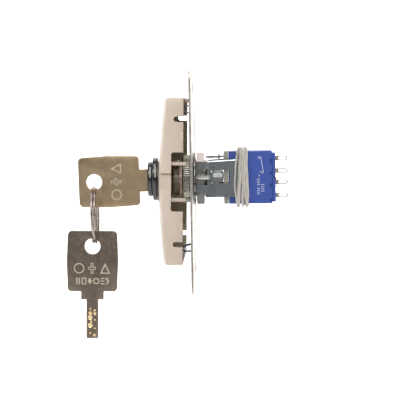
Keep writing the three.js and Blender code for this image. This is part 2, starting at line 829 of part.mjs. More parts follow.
// ---------------------------------------------------------------- switch block
{
  // locating pin with a collar, in front of the block's upper edge
  put(
    "frame",
    "locating_pin",
    sum([
      rod("y", 4.0, 9.9, [0, 0, 7.4], 0.6, 0.6, 14),
      rod("y", 8.2, 8.7, [0, 0, 7.4], 0.95, 0.95, 14),
    ]),
    M.steel,
  );
  put(
    "frame",
    "switch_front_plate",
    slab("xz", rect(-BLOCK_X, -BLOCK_Z + BLOCK_MID, BLOCK_X, BLOCK_Z + BLOCK_MID, 0.5, 2), ...FRONT_PLATE_Y, [
      circle(0, PLUNGER_Z, 1.45, 20),
    ]),
    M.grey,
  );
  const w = 1.2;
  let housing = slab(
    "xz",
    rect(-BLOCK_X, -BLOCK_Z + BLOCK_MID, BLOCK_X, BLOCK_Z + BLOCK_MID, 0.6, 3),
    ...HOUSING_Y,
  );
  housing = housing.subtract(
    box(-BLOCK_X + w, HOUSING_Y[0] - 1, -BLOCK_Z + w + BLOCK_MID, BLOCK_X - w, HOUSING_Y[1] - w, BLOCK_Z - w + BLOCK_MID),
  );
  housing = less(
    housing,
    LUG_Z.map((z) =>
      box(-LUG_T / 2 - 0.08, 23, z - LUG_HALF - 0.08, LUG_T / 2 + 0.08, 27, z + LUG_HALF + 0.08),
    ),
  );
  put("frame", "switch_housing", housing, M.blue);
  let base = slab(
    "xz",
    rect(-BLOCK_X + 0.4, -8.1 + BLOCK_RISE, BLOCK_X - 0.4, 8.1 + BLOCK_RISE, 0.5, 2),
    ...TERMINAL_BLOCK_Y,
  );
  base = less(base, [
    ...LUG_Z.map((z) =>
      box(-LUG_T / 2 - 0.08, 26, z - LUG_HALF - 0.08, LUG_T / 2 + 0.08, 28, z + LUG_HALF + 0.08),
    ),
    // notches between the terminals
    ...[4.35, 0.35, -3.75].map((z) => box(1.6, 26.6, z - 0.45, 8, 28, z + 0.45)),
    ...[4.35, 0.35, -3.75].map((z) => box(-8, 26.6, z - 0.45, -1.6, 28, z + 0.45)),
  ]);
  put("frame", "terminal_block", base, M.blue);

  LUG_Z.forEach((z, i) => {
    const strip = slab(
      "yz",
      rounded([
        [18.45, z - LUG_HALF],
        [LUG_END, z - LUG_HALF, 0.75, 4],
        [LUG_END, z + LUG_HALF, 0.75, 4],
        [18.45, z + LUG_HALF],
      ]),
      -LUG_T / 2,
      LUG_T / 2,
      [rect(28.3, z - 0.43, 31.0, z + 0.43, 0.42, 3)],
    );
    const rivet = rod("y", 17.7, 18.6, [0, 0, z], 0.8, 0.8, 14);
    put("frame", `terminal_${i + 1}`, strip.add(rivet), M.tin);
  });
  put("frame", "mark_orange", rod("y", 27.24, 27.6, [1.5, 0, 2.05], 0.6, 0.45, 12), M.orange);
  put("frame", "mark_red", rod("y", 27.24, 27.6, [1.5, 0, -0.35], 0.6, 0.45, 12), M.red);

  // plunger: rounded tip, stem through the front plate, cross bar that carries the contacts
  const stem = sum([
    rod("y", PLUNGER_TIP, PLUNGER_TIP + 0.3, [0, 0, PLUNGER_Z], 0.55, 0.95, 16),
    rod("y", PLUNGER_TIP + 0.3, PLUNGER_TIP + 0.8, [0, 0, PLUNGER_Z], 0.95, PLUNGER_R, 16),
    rod("y", PLUNGER_TIP + 0.8, 13.2, [0, 0, PLUNGER_Z], PLUNGER_R, PLUNGER_R, 16),
    box(-5.2, 12.9, -6.95, 5.2, 14.9, 7.35),
  ]);
  put("plunger", "plunger", stem, M.white);
  for (const [name, z0, z1] of [
    ["contact_bridge_upper", 1.55, 7.15],
    ["contact_bridge_lower", -6.65, -0.85],
  ])
    put("plunger", name, box(-0.9, 15.3, z0, 0.9, 15.85, z1).add(
      sum([
        rod("y", 15.8, 16.1, [0, 0, z0 + 0.7], 0.6, 0.5, 12),
        rod("y", 15.8, 16.1, [0, 0, z1 - 0.7], 0.6, 0.5, 12),
        rod("y", 14.95, 15.35, [0, 0, (z0 + z1) / 2], 0.5, 0.5, 12),
      ]),
    ), M.brass);

  // return springs between the cross bar and the housing's rear wall
  for (const [name, x] of [
    ["return_spring_right", 3.4],
    ["return_spring_left", -3.4],
  ]) {
    class Helix extends THREE.Curve {
      getPoint(t, target = new THREE.Vector3()) {
        const turns = 6;
        const a = 2 * Math.PI * turns * t;
        return target.set(1.3 * Math.cos(a), 15.2 + 9.35 * t, 1.3 * Math.sin(a));
      }
    }
    const wire = new THREE.Shape(circle(0, 0, 0.2, 4));
    const g = new THREE.ExtrudeGeometry(wire, {
      steps: 54,
      bevelEnabled: false,
      extrudePath: new Helix(),
    });
    const s = put("frame", name, solid(g), M.steel);
    s.position.x = x;
  }
}

// ---------------------------------------------------------------- rubber band
{
  const band = slab(
    "xz",
    rounded([
      [-9.1, -9.7, 2.2, 4],
      [9.1, -9.7, 2.2, 4],
      [9.1, 10.45, 2.2, 4],
      [-9.1, 10.45, 2.2, 4],
    ]),
    12.9,
    18.8,
    [rect(-7.95, -8.4, 7.95, 9.17, 0.7, 2)],
  );
  put("frame", "rubber_band", band, M.rubber);
}

export default root;
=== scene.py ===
import math
import bpy, bmesh
from mathutils import Vector, Matrix
from mathutils.geometry import tessellate_polygon


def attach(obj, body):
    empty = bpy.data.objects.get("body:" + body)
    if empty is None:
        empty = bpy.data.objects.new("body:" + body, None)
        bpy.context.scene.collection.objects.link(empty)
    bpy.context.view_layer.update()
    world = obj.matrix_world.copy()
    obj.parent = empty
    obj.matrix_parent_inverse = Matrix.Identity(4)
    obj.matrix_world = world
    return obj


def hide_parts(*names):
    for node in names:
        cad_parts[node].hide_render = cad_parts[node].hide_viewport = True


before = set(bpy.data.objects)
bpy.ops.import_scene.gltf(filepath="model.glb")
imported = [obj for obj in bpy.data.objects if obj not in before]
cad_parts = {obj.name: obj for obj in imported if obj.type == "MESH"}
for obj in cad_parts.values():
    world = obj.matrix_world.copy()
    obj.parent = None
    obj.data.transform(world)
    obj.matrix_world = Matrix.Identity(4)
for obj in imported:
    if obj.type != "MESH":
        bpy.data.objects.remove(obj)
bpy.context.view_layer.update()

sc = bpy.context.scene
MM = 0.001
TAU = 2 * math.pi
sc.view_settings.view_transform = "Standard"


# ------------------------------------------------------------------ mesh helpers (millimetres)
def rounded(points):
    """Polygon with rounded corners; points are (u, v[, radius[, steps]])."""
    out = []
    n = len(points)
    for i, p in enumerate(points):
        u, v = p[0], p[1]
        r = p[2] if len(p) > 2 else 0
        st = p[3] if len(p) > 3 else 6
        if not r:
            out.append((u, v))
            continue
        a, b = points[i - 1], points[(i + 1) % n]
        P = Vector((u, v))
        da = (Vector((a[0], a[1])) - P).normalized()
        db = (Vector((b[0], b[1])) - P).normalized()
        ang = math.acos(max(-1, min(1, da.dot(db))))
        t = r / math.tan(ang / 2)
        c = P + (da + db).normalized() * (r / math.sin(ang / 2))
        s, e = P + da * t - c, P + db * t - c
        a0, a1 = math.atan2(s.y, s.x), math.atan2(e.y, e.x)
        d = a1 - a0
        while d > math.pi:
            d -= TAU
        while d < -math.pi:
            d += TAU
        for k in range(st + 1):
            q = a0 + d * k / st
            out.append((c.x + r * math.cos(q), c.y + r * math.sin(q)))
    return out


def rect(u0, v0, u1, v1, r=0, st=6):
    return rounded([(u0, v0, r, st), (u1, v0, r, st), (u1, v1, r, st), (u0, v1, r, st)])


def circle(u, v, r, n=48, ph=0.0):
    return [(u + r * math.cos(ph + TAU * i / n), v + r * math.sin(ph + TAU * i / n)) for i in range(n)]


PLANES = {
    "xy": lambda u, v, w: (u, v, w),
    "yz": lambda u, v, w: (w, u, v),
    "xz": lambda u, v, w: (u, w, v),
}


def new_obj(name, me):
    o = bpy.data.objects.new(name, me)
    sc.collection.objects.link(o)
    return o


def from_lists(name, verts, faces):
    me = bpy.data.meshes.new(name)
    me.from_pydata([tuple(v) for v in verts], [], faces)
    me.update()
    return tidy(new_obj(name, me))


def tidy(o, dist=1e-4):
    bm = bmesh.new()
    bm.from_mesh(o.data)
    bmesh.ops.remove_doubles(bm, verts=bm.verts, dist=dist)
    bmesh.ops.dissolve_degenerate(bm, edges=bm.edges, dist=1e-5)
    bmesh.ops.recalc_face_normals(bm, faces=bm.faces)
    bm.to_mesh(o.data)
    bm.free()
    o.data.update()
    return o


def baked(o):
    """Put the object's modifiers into its mesh."""
    bpy.context.view_layer.update()
    dg = bpy.context.evaluated_depsgraph_get()
    me = bpy.data.meshes.new_from_object(o.evaluated_get(dg), depsgraph=dg)
    old = o.data
    o.modifiers.clear()
    o.data = me
    if old.users == 0:
        bpy.data.meshes.remove(old)
    return o


def drop(o):
    d = o.data
    bpy.data.objects.remove(o)
    if isinstance(d, bpy.types.Mesh) and d.users == 0:
        bpy.data.meshes.remove(d)


def sheet(name, loops, a, b, plane="yz", bev=0.08, res=2):
    """Outline with holes, from a to b along the third axis, with rounded rims."""
    cu = bpy.data.curves.new(name, "CURVE")
    cu.dimensions = "2D"
    cu.fill_mode = "BOTH"
    cu.extrude = (b - a) / 2 - bev
    cu.bevel_depth = bev
    cu.bevel_resolution = res
    cu.offset = -bev
    for lp in loops:
        s = cu.splines.new("POLY")
        s.points.add(len(lp) - 1)
        for p, (u, v) in zip(s.points, lp):
            p.co = (u, v, 0, 1)
        s.use_cyclic_u = True
    t = bpy.data.objects.new(name + "_c", cu)
    sc.collection.objects.link(t)
    bpy.context.view_layer.update()
    dg = bpy.context.evaluated_depsgraph_get()
    me = bpy.data.meshes.new_from_object(t.evaluated_get(dg), depsgraph=dg)
    bpy.data.objects.remove(t)
    bpy.data.curves.remove(cu)
    f = PLANES[plane]
    mid = (a + b) / 2
    for v in me.vertices:
        v.co = f(v.co.x, v.co.y, v.co.z + mid)
    me.name = name
    return tidy(new_obj(name, me))


def lathe(name, profile, segs=96, closed=True, at=(0, 0, 0), axis="y", radial=None):
    """Turned about an axis; profile points are (radius, height along the axis)."""
    n = len(profile)
    verts, faces = [], []
    for i in range(segs):
        t = TAU * i / segs
        for j, (r, h) in enumerate(profile):
            rr = r if radial is None else radial(r, h, t)
            c, s = rr * math.sin(t), rr * math.cos(t)
            p = {"y": (c, h, s), "x": (h, c, s), "z": (c, s, h)}[axis]
            verts.append((p[0] + at[0], p[1] + at[1], p[2] + at[2]))
    m = n if closed else n - 1
    for i in range(segs):
        k = (i + 1) % segs
        for j in range(m):
            l = (j + 1) % n
            faces.append((i * n + j, k * n + j, k * n + l, i * n + l))
    return from_lists(name, verts, faces)


def block(name, x0, y0, z0, x1, y1, z1, bev=0.15, seg=3):
    v = [(x, y, z) for x in (x0, x1) for y in (y0, y1) for z in (z0, z1)]
    f = [(0, 1, 3, 2), (4, 6, 7, 5), (0, 4, 5, 1), (2, 3, 7, 6), (0, 2, 6, 4), (1, 5, 7, 3)]
    o = from_lists(name, v, f)
    if bev:
        m = o.modifiers.new("b", "BEVEL")
        m.width = bev
        m.segments = seg
        m.limit_method = "NONE"
        baked(o)
    return o


def boolean(o, others, op="DIFFERENCE"):
    for c in others:
        m = o.modifiers.new("b", "BOOLEAN")
        m.object = c
        m.operation = op
        m.solver = "EXACT"
        baked(o)
        drop(c)
    return o


def bevel(o, width=0.08, seg=2, angle=35):
    m = o.modifiers.new("b", "BEVEL")
    m.width = width
    m.segments = seg
    m.limit_method = "ANGLE"
    m.angle_limit = math.radians(angle)
    m.use_clamp_overlap = True
    return baked(o)


def sweep(name, path, section, closed=False, up=(0, 0, 1), twist=None, scale=None):
    """Section (list of (u, v)) carried along a path without spinning."""
    n, m = len(path), len(section)
    pts = [Vector(p) for p in path]
    tang = []
    for i in range(n):
        a = pts[i - 1] if (closed or i) else pts[i]
        b = pts[(i + 1) % n] if (closed or i < n - 1) else pts[i]
        tang.append((b - a).normalized())
    ref = Vector(up)
    ref = (ref - tang[0] * ref.dot(tang[0])).normalized()
    frames = [ref]
    for i in range(1, n):
        r = frames[-1]
        q = tang[i - 1].rotation_difference(tang[i])
        r = q @ r
        r = (r - tang[i] * r.dot(tang[i])).normalized()
        frames.append(r)
    drift = 0.0
    if closed:
        q = tang[-1].rotation_difference(tang[0])
        r = q @ frames[-1]
        b0 = tang[0].cross(frames[0])
        drift = math.atan2(r.dot(b0), r.dot(frames[0]))
    verts, faces = [], []
    for i in range(n):
        t, r = tang[i], frames[i]
        b = t.cross(r)
        an = -drift * i / n + (twist(i / n) if twist else 0)
        k = scale(i / n) if scale else 1
        ca, sa = math.cos(an), math.sin(an)
        for u, v in section:
            uu, vv = (u * ca - v * sa) * k, (u * sa + v * ca) * k
            verts.append(pts[i] + r * uu + b * vv)
    for i in range(n if closed else n - 1):
        k = (i + 1) % n
        for j in range(m):
            l = (j + 1) % m
            faces.append((i * m + j, i * m + l, k * m + l, k * m + j))
    if not closed:
        faces.append(tuple(range(m - 1, -1, -1)))
        faces.append(tuple((n - 1) * m + j for j in range(m)))
    return from_lists(name, verts, faces)


def piece(o, body, mats, replaces=(), sharp=32, flat=False):
    """Scale to metres, shade, dress and hang the finished piece on its body."""
    me = o.data
    me.transform(Matrix.Scale(MM, 4))
    for p in me.polygons:
        p.use_smooth = True
    me.set_sharp_from_angle(angle=math.radians(sharp))
    if flat:
        wn = o.modifiers.new("wn", "WEIGHTED_NORMAL")
        wn.mode = "FACE_AREA"
        wn.keep_sharp = True
        baked(o)
        me = o.data
    mats = mats if isinstance(mats, (list, tuple)) else [mats]
    idx = [min(p.material_index, len(mats) - 1) for p in me.polygons]
    me.materials.clear()
    for m in mats:
        me.materials.append(m)
    for p, i in zip(me.polygons, idx):
        p.material_index = i
    me.update()
    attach(o, body)
    if replaces:
        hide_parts(*([replaces] if isinstance(replaces, str) else replaces))
    return o


def join(name, objs):
    """Several closed shells as one mesh."""
    bm = bmesh.new()
    for o in objs:
        bm.from_mesh(o.data)
    me = bpy.data.meshes.new(name)
    bm.to_mesh(me)
    bm.free()
    for o in objs:
        drop(o)
    return new_obj(name, me)


# ------------------------------------------------------------------ materials
def lin(r, g, b):
    f = lambda c: (c / 255 / 12.92) if c / 255 <= 0.04045 else ((c / 255 + 0.055) / 1.055) ** 2.4
    return (f(r), f(g), f(b), 1.0)


def mix(a, b, t):
    return tuple(x + (y - x) * t for x, y in zip(a, b))


def shade(c, k):
    return (c[0] * k, c[1] * k, c[2] * k, 1.0)


def material(name, base, rough, metal=0.0, dark=0.85, light=1.08, spots=0.25, grain=9.0, bump=0.02,
             rough_var=0.12, stretch=(1, 1, 1), second=None, second_at=(0.55, 0.75), scratch=0.0,
             coat=0.0, sss=0.0, ior=1.5, tint_noise=None, cell=0.0):
    """Principled material with colour, roughness and relief from noise in object space (per mm)."""
    m = bpy.data.materials.new(name)
    m.use_nodes = True
    nt = m.node_tree
    nt.nodes.clear()
    N = nt.nodes.new
    L = nt.links.new
    out = N("ShaderNodeOutputMaterial")
    bs = N("ShaderNodeBsdfPrincipled")
    L(bs.outputs[0], out.inputs[0])
    bs.inputs["Metallic"].default_value = metal
    bs.inputs["IOR"].default_value = ior
    if coat:
        bs.inputs["Coat Weight"].default_value = coat
        bs.inputs["Coat Roughness"].default_value = 0.15
    if sss:
        bs.inputs["Subsurface Weight"].default_value = sss
        bs.inputs["Subsurface Scale"].default_value = 0.0015
    tc = N("ShaderNodeTexCoord")
    mp = N("ShaderNodeMapping")
    mp.inputs["Scale"].default_value = (1000 * stretch[0], 1000 * stretch[1], 1000 * stretch[2])
    L(tc.outputs["Object"], mp.inputs["Vector"])
    mp2 = N("ShaderNodeMapping")
    mp2.inputs["Scale"].default_value = (1000, 1000, 1000)
    L(tc.outputs["Object"], mp2.inputs["Vector"])
    # broad mottling
    n1 = N("ShaderNodeTexNoise")
    n1.inputs["Scale"].default_value = spots
    n1.inputs["Detail"].default_value = 6
    n1.inputs["Roughness"].default_value = 0.6
    L(mp2.outputs[0], n1.inputs["Vector"])
    cr = N("ShaderNodeValToRGB")
    cr.color_ramp.elements[0].position = 0.3
    cr.color_ramp.elements[0].color = shade(base, dark)
    cr.color_ramp.elements[1].position = 0.7
    cr.color_ramp.elements[1].color = shade(base, light)
    L(n1.outputs["Fac"], cr.inputs["Fac"])
    col = cr.outputs["Color"]
    # fine grain
    n2 = N("ShaderNodeTexNoise")
    n2.inputs["Scale"].default_value = grain
    n2.inputs["Detail"].default_value = 4
    L(mp.outputs[0], n2.inputs["Vector"])
    if second is not None:
        n3 = N("ShaderNodeTexNoise")
        n3.inputs["Scale"].default_value = spots * 2.3
        n3.inputs["Detail"].default_value = 9
        n3.inputs["Roughness"].default_value = 0.7
        n3.inputs["Distortion"].default_value = 0.6
        L(mp2.outputs[0], n3.inputs["Vector"])
        r3 = N("ShaderNodeMapRange")
        r3.inputs["From Min"].default_value = second_at[0]
        r3.inputs["From Max"].default_value = second_at[1]
        L(n3.outputs["Fac"], r3.inputs["Value"])
        mx = N("ShaderNodeMix")
        mx.data_type = "RGBA"
        L(r3.outputs[0], mx.inputs[0])
        L(col, mx.inputs[6])
        mx.inputs[7].default_value = second
        col = mx.outputs[2]
    L(col, bs.inputs["Base Color"])
    rr = N("ShaderNodeMapRange")
    rr.inputs["From Min"].default_value = 0.3
    rr.inputs["From Max"].default_value = 0.7
    rr.inputs["To Min"].default_value = max(0.02, rough - rough_var)
    rr.inputs["To Max"].default_value = min(1.0, rough + rough_var)
    L(n2.outputs["Fac"], rr.inputs["Value"])
    L(rr.outputs[0], bs.inputs["Roughness"])
    h = n2.outputs["Fac"]
    if scratch:
        w = N("ShaderNodeTexWave")
        w.wave_type = "BANDS"
        w.bands_direction = "Z"
        w.inputs["Scale"].default_value = 2.4
        w.inputs["Distortion"].default_value = 7
        w.inputs["Detail"].default_value = 3
        L(mp2.outputs[0], w.inputs["Vector"])
        ma = N("ShaderNodeMath")
        ma.operation = "MULTIPLY_ADD"
        L(w.outputs["Fac"], ma.inputs[0])
        ma.inputs[1].default_value = scratch
        L(h, ma.inputs[2])
        h = ma.outputs[0]
    if cell:
        vo = N("ShaderNodeTexVoronoi")
        vo.inputs["Scale"].default_value = cell
        L(mp2.outputs[0], vo.inputs["Vector"])
        ma = N("ShaderNodeMath")
        ma.operation = "MULTIPLY_ADD"
        L(vo.outputs["Distance"], ma.inputs[0])
        ma.inputs[1].default_value = 0.6
        L(h, ma.inputs[2])
        h = ma.outputs[0]
    if bump:
        bp = N("ShaderNodeBump")
        bp.inputs["Strength"].default_value = 1.0
        bp.inputs["Distance"].default_value = bump * MM
        L(h, bp.inputs["Height"])
        L(bp.outputs[0], bs.inputs["Normal"])
    return m


CREAM = lin(214, 198, 182)
M = {
    "cream": material("cream_plastic", CREAM, 0.42, dark=0.955, light=1.02, spots=0.08, grain=6.0, bump=0.006,
                      rough_var=0.05, sss=0.05, cell=3.0),
    # painted light: a lighter copy of the cream for the shell's inner faces, lifting the shade inside
    "cream_painted_lift": material("cream_plastic_inside_painted_light", lin(236, 232, 206), 0.6, dark=0.92, light=1.03, spots=0.1,
                         grain=5.0, bump=0.008, rough_var=0.06, sss=0.02),
    "zinc": material("zinc_plated_sheet", lin(184, 174, 166), 0.34, 1.0, dark=0.8, light=1.06, spots=0.3,
                     grain=3.0, bump=0.006, stretch=(1, 1, 0.06), second=lin(214, 208, 200), second_at=(0.5, 0.62)),
    "bracket": material("zinc_plated_bracket", lin(142, 148, 151), 0.26, 1.0, dark=0.92, light=1.04, spots=0.25,
                        grain=4.0, bump=0.0006, rough_var=0.05, second=lin(152, 158, 160), second_at=(0.5, 0.75)),
    "blued": material("blued_spring_steel", lin(132, 144, 168), 0.3, 1.0, dark=0.7, light=1.15, spots=0.5,
                      grain=5.0, bump=0.004, stretch=(0.1, 1, 1)),
    "chrome": material("dark_polished_chrome", lin(86, 84, 84), 0.13, 1.0, dark=0.92, light=1.04, spots=0.5,
                       grain=2.0, bump=0.0, rough_var=0.02),
    "ring": material("dark_ring_steel", lin(176, 165, 157), 0.18, 1.0, dark=0.85, light=1.06, spots=0.4,
                      grain=5.0, bump=0.001, rough_var=0.05),
    # painted highlight: near-white steel for the bracket's upward-facing edge faces
    "edge": material("bracket_painted_highlight", lin(232, 236, 232), 0.32, 1.0, dark=0.92, light=1.03, spots=0.6,
                     grain=6.0, bump=0.001, rough_var=0.05),
    # hex nut flats: painted highlight as a lighter copy of the steel on the upward flats, painted shade as a darker
    # copy on the downward flats
    "hex_painted_lit": material("hex_steel_painted_highlight", lin(206, 192, 184), 0.24, 1.0, dark=0.88, light=1.04, spots=0.7,
                       grain=6.0, bump=0.001, rough_var=0.05),
    "hex_painted_shade": material("hex_steel_painted_shade", lin(104, 103, 97), 0.26, 1.0, dark=0.85, light=1.06, spots=0.7,
                        grain=6.0, bump=0.001, rough_var=0.05),
    # painted shade: a darker copy of the screw steel for the clamp screw heads
    "head": material("screw_head_painted_shade", lin(101, 104, 102), 0.24, 1.0, dark=0.85, light=1.06, spots=0.7,
                     grain=6.0, bump=0.001, rough_var=0.05),
    "hex": material("hex_steel", lin(150, 150, 146), 0.22, 1.0, dark=0.85, light=1.05, spots=0.7,
                    grain=6.0, bump=0.002, rough_var=0.06),
    # painted highlight: bright rose steel standing in for the pinkish highlight on the knurled nut's collar
    "collar": material("collar_painted_highlight", lin(214, 190, 176), 0.3, 1.0, dark=0.9, light=1.04, spots=0.6,
                       grain=6.0, bump=0.002, rough_var=0.06),
    # painted highlight: a near-white copy of the screw steel for the screw shafts and the knurl tops
    "screw": material("zinc_screw_painted_highlight", lin(226, 232, 228), 0.24, 1.0, dark=0.88, light=1.03, spots=0.8,
                       grain=6.0, bump=0.001, rough_var=0.05),
    "steel": material("bright_steel", lin(160, 159, 156), 0.2, 1.0, dark=0.82, light=1.06, spots=0.6,
                      grain=6.0, bump=0.002, rough_var=0.07),
    "nut": material("nickel_nut", lin(176, 170, 152), 0.3, 1.0, dark=0.8, light=1.06, spots=0.5,
                    grain=6.0, bump=0.003, second=lin(150, 140, 114), second_at=(0.55, 0.7)),
    "brass": material("brass_parts", lin(196, 158, 92), 0.26, 1.0, dark=0.85, light=1.05, spots=0.5, grain=5, bump=0.002),
    "plug": material("nickelled_plug", lin(176, 170, 156), 0.2, 1.0, dark=0.88, light=1.05, spots=0.5, grain=6, bump=0.002),
    "key": material("worn_nickel_key", lin(184, 162, 131), 0.32, 1.0, dark=0.84, light=1.08, spots=0.28,
                    grain=7.0, bump=0.006, second=lin(180, 160, 128), second_at=(0.5, 0.7), scratch=0.25),
    "key2": material("worn_nickel_spare", lin(131, 119, 107), 0.32, 1.0, dark=0.8, light=1.1, spots=0.28,
                     grain=7.0, bump=0.006, second=lin(154, 139, 119), second_at=(0.52, 0.72), scratch=0.25),
    "mark": material("bright_stamped_recess", lin(214, 204, 184), 0.42, 0.7, dark=0.88, light=1.08, spots=1.0, grain=8,
                     bump=0.004),
    "pit": material("cut_brass_pit", lin(246, 224, 178), 0.4, 0.7, dark=0.85, light=1.12, spots=1.5, grain=8, bump=0.002),
    "grey": material("grey_moulding", lin(170, 168, 155), 0.45, dark=0.9, light=1.05, spots=0.3, grain=8, bump=0.006),
    "blue": material("blue_moulding", lin(58, 84, 166), 0.42, dark=0.88, light=1.08, spots=0.15, grain=7.0, bump=0.006,
                     rough_var=0.08),
    "blue_dk": material("blue_moulding_dark", lin(40, 60, 130), 0.45, dark=0.9, light=1.05, spots=0.2, grain=7, bump=0.006),
    "print": material("white_print", lin(214, 220, 236), 0.55, dark=0.95, light=1.03, spots=1.0, grain=10, bump=0.001),
    "tin": material("tinned_lug", lin(176, 166, 154), 0.34, 1.0, dark=0.85, light=1.05, spots=0.8, grain=5, bump=0.006),
    "rubber": material("rubber_band", lin(208, 203, 195), 0.62, dark=0.88, light=1.05, spots=0.5, grain=5.0,
                       bump=0.02, stretch=(1, 1, 1), sss=0.12),
    "red": material("red_dot", lin(206, 60, 40), 0.35, dark=0.9, light=1.05, spots=1, grain=8, bump=0.002, coat=0.3),
    "orange": material("orange_dot", lin(232, 150, 60), 0.35, dark=0.9, light=1.05, spots=1, grain=8, bump=0.002, coat=0.3),
    "nylon": material("white_nylon", lin(226, 222, 212), 0.5, dark=0.94, light=1.02, spots=0.4, grain=6, bump=0.004, sss=0.1),
}

# finer materials on the CAD nodes that stay as they are
for node, key in {
    "driver_pin_1": "brass", "driver_pin_2": "brass", "driver_pin_3": "brass", "key_pin_1": "brass",
    "key_pin_2": "brass", "key_pin_3": "brass", "contact_bridge_upper": "brass", "contact_bridge_lower": "brass",
    "face_cam": "nylon", "plunger": "nylon", "cam_screw": "steel", "circlip": "blued",
    "return_spring_right": "steel", "return_spring_left": "steel",
}.items():
    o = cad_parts[node]
    o = bpy.data.objects[o] if isinstance(o, str) else o
    if not o.material_slots:
        o.data.materials.append(M[key])
    for s in o.material_slots:
        s.material = M[key]


# ------------------------------------------------------------------ support plate
def make_plate():
    loops = [rect(-35.5, -35.5, 35.5, 35.5, 3, 12), circle(0, 0, 6.15, 64)]
    for u, v in ((30, 0), (-30, 0), (0, 30), (0, -30)):
        du, dv = (1.85, 5.2) if u else (5.2, 1.85)
        loops.append(rect(u - du, v - dv, u + du, v + dv, 1.84, 8))
    for u in (-29, 29):
        for v in (-29, 29):
            loops.append(circle(u, v, 1.65, 24))
    loops.append(rect(-3.6, 23.8, 3.6, 25.0, 0.2, 3))
    loops.append(rect(-3.6, -25.0, 3.6, -23.8, 0.2, 3))
    o = sheet("support_plate_fine", loops, -0.7, 0.0, "xz", 0.08, 2)
    cut = sheet("coin", [rect(-22.5, -22.5, 22.5, 22.5, 3, 8)], -0.12, 1.0, "xz", 0.0, 0)
    boolean(o, [cut])
    piece(o, "frame", M["zinc"], "support_plate", sharp=50, flat=True)


make_plate()


# ------------------------------------------------------------------ cover
def pillow_grid(half, rc, crown, edge, n, edges):
    """Square crown with rounded corners: rows of points, outermost row last on each side."""
    core = [i / n for i in range(n + 1)]
    lim = 1 - (edges[0] / half)
    pos = [c * lim for c in core] + [1 - e / half for e in edges[1:]]
    vals = [-p for p in reversed(pos[1:])] + pos
    k = len(vals)
    pts = []
    for t in vals:
        row = []
        for s in vals:
            x, z = s * half, t * half
            ax, az = abs(x) - (half - rc), abs(z) - (half - rc)
            if ax > 0 and az > 0:
                m, r = max(ax, az), math.hypot(ax, az)
                x = math.copysign(half - rc + ax * m / r, x)
                z = math.copysign(half - rc + az * m / r, z)
                d = rc - m
            else:
                d = half - max(abs(x), abs(z))
            y = crown + (x * x + z * z) / 440.0
            if edge and d < edge:
                q = edge - d
                y += edge - math.sqrt(max(0, edge * edge - q * q))
            row.append((x, y, z))
        pts.append(row)
    return pts, k


def lean(o):
    """The cover stands further off the plate at its lower edge."""
    a = math.radians(-1.3)
    for v in o.data.vertices:
        y, z = v.co.y + 2.4, v.co.z - 27.0
        v.co.y = y * math.cos(a) - z * math.sin(a) - 2.4
        v.co.z = y * math.sin(a) + z * math.cos(a) + 27.0
    return o


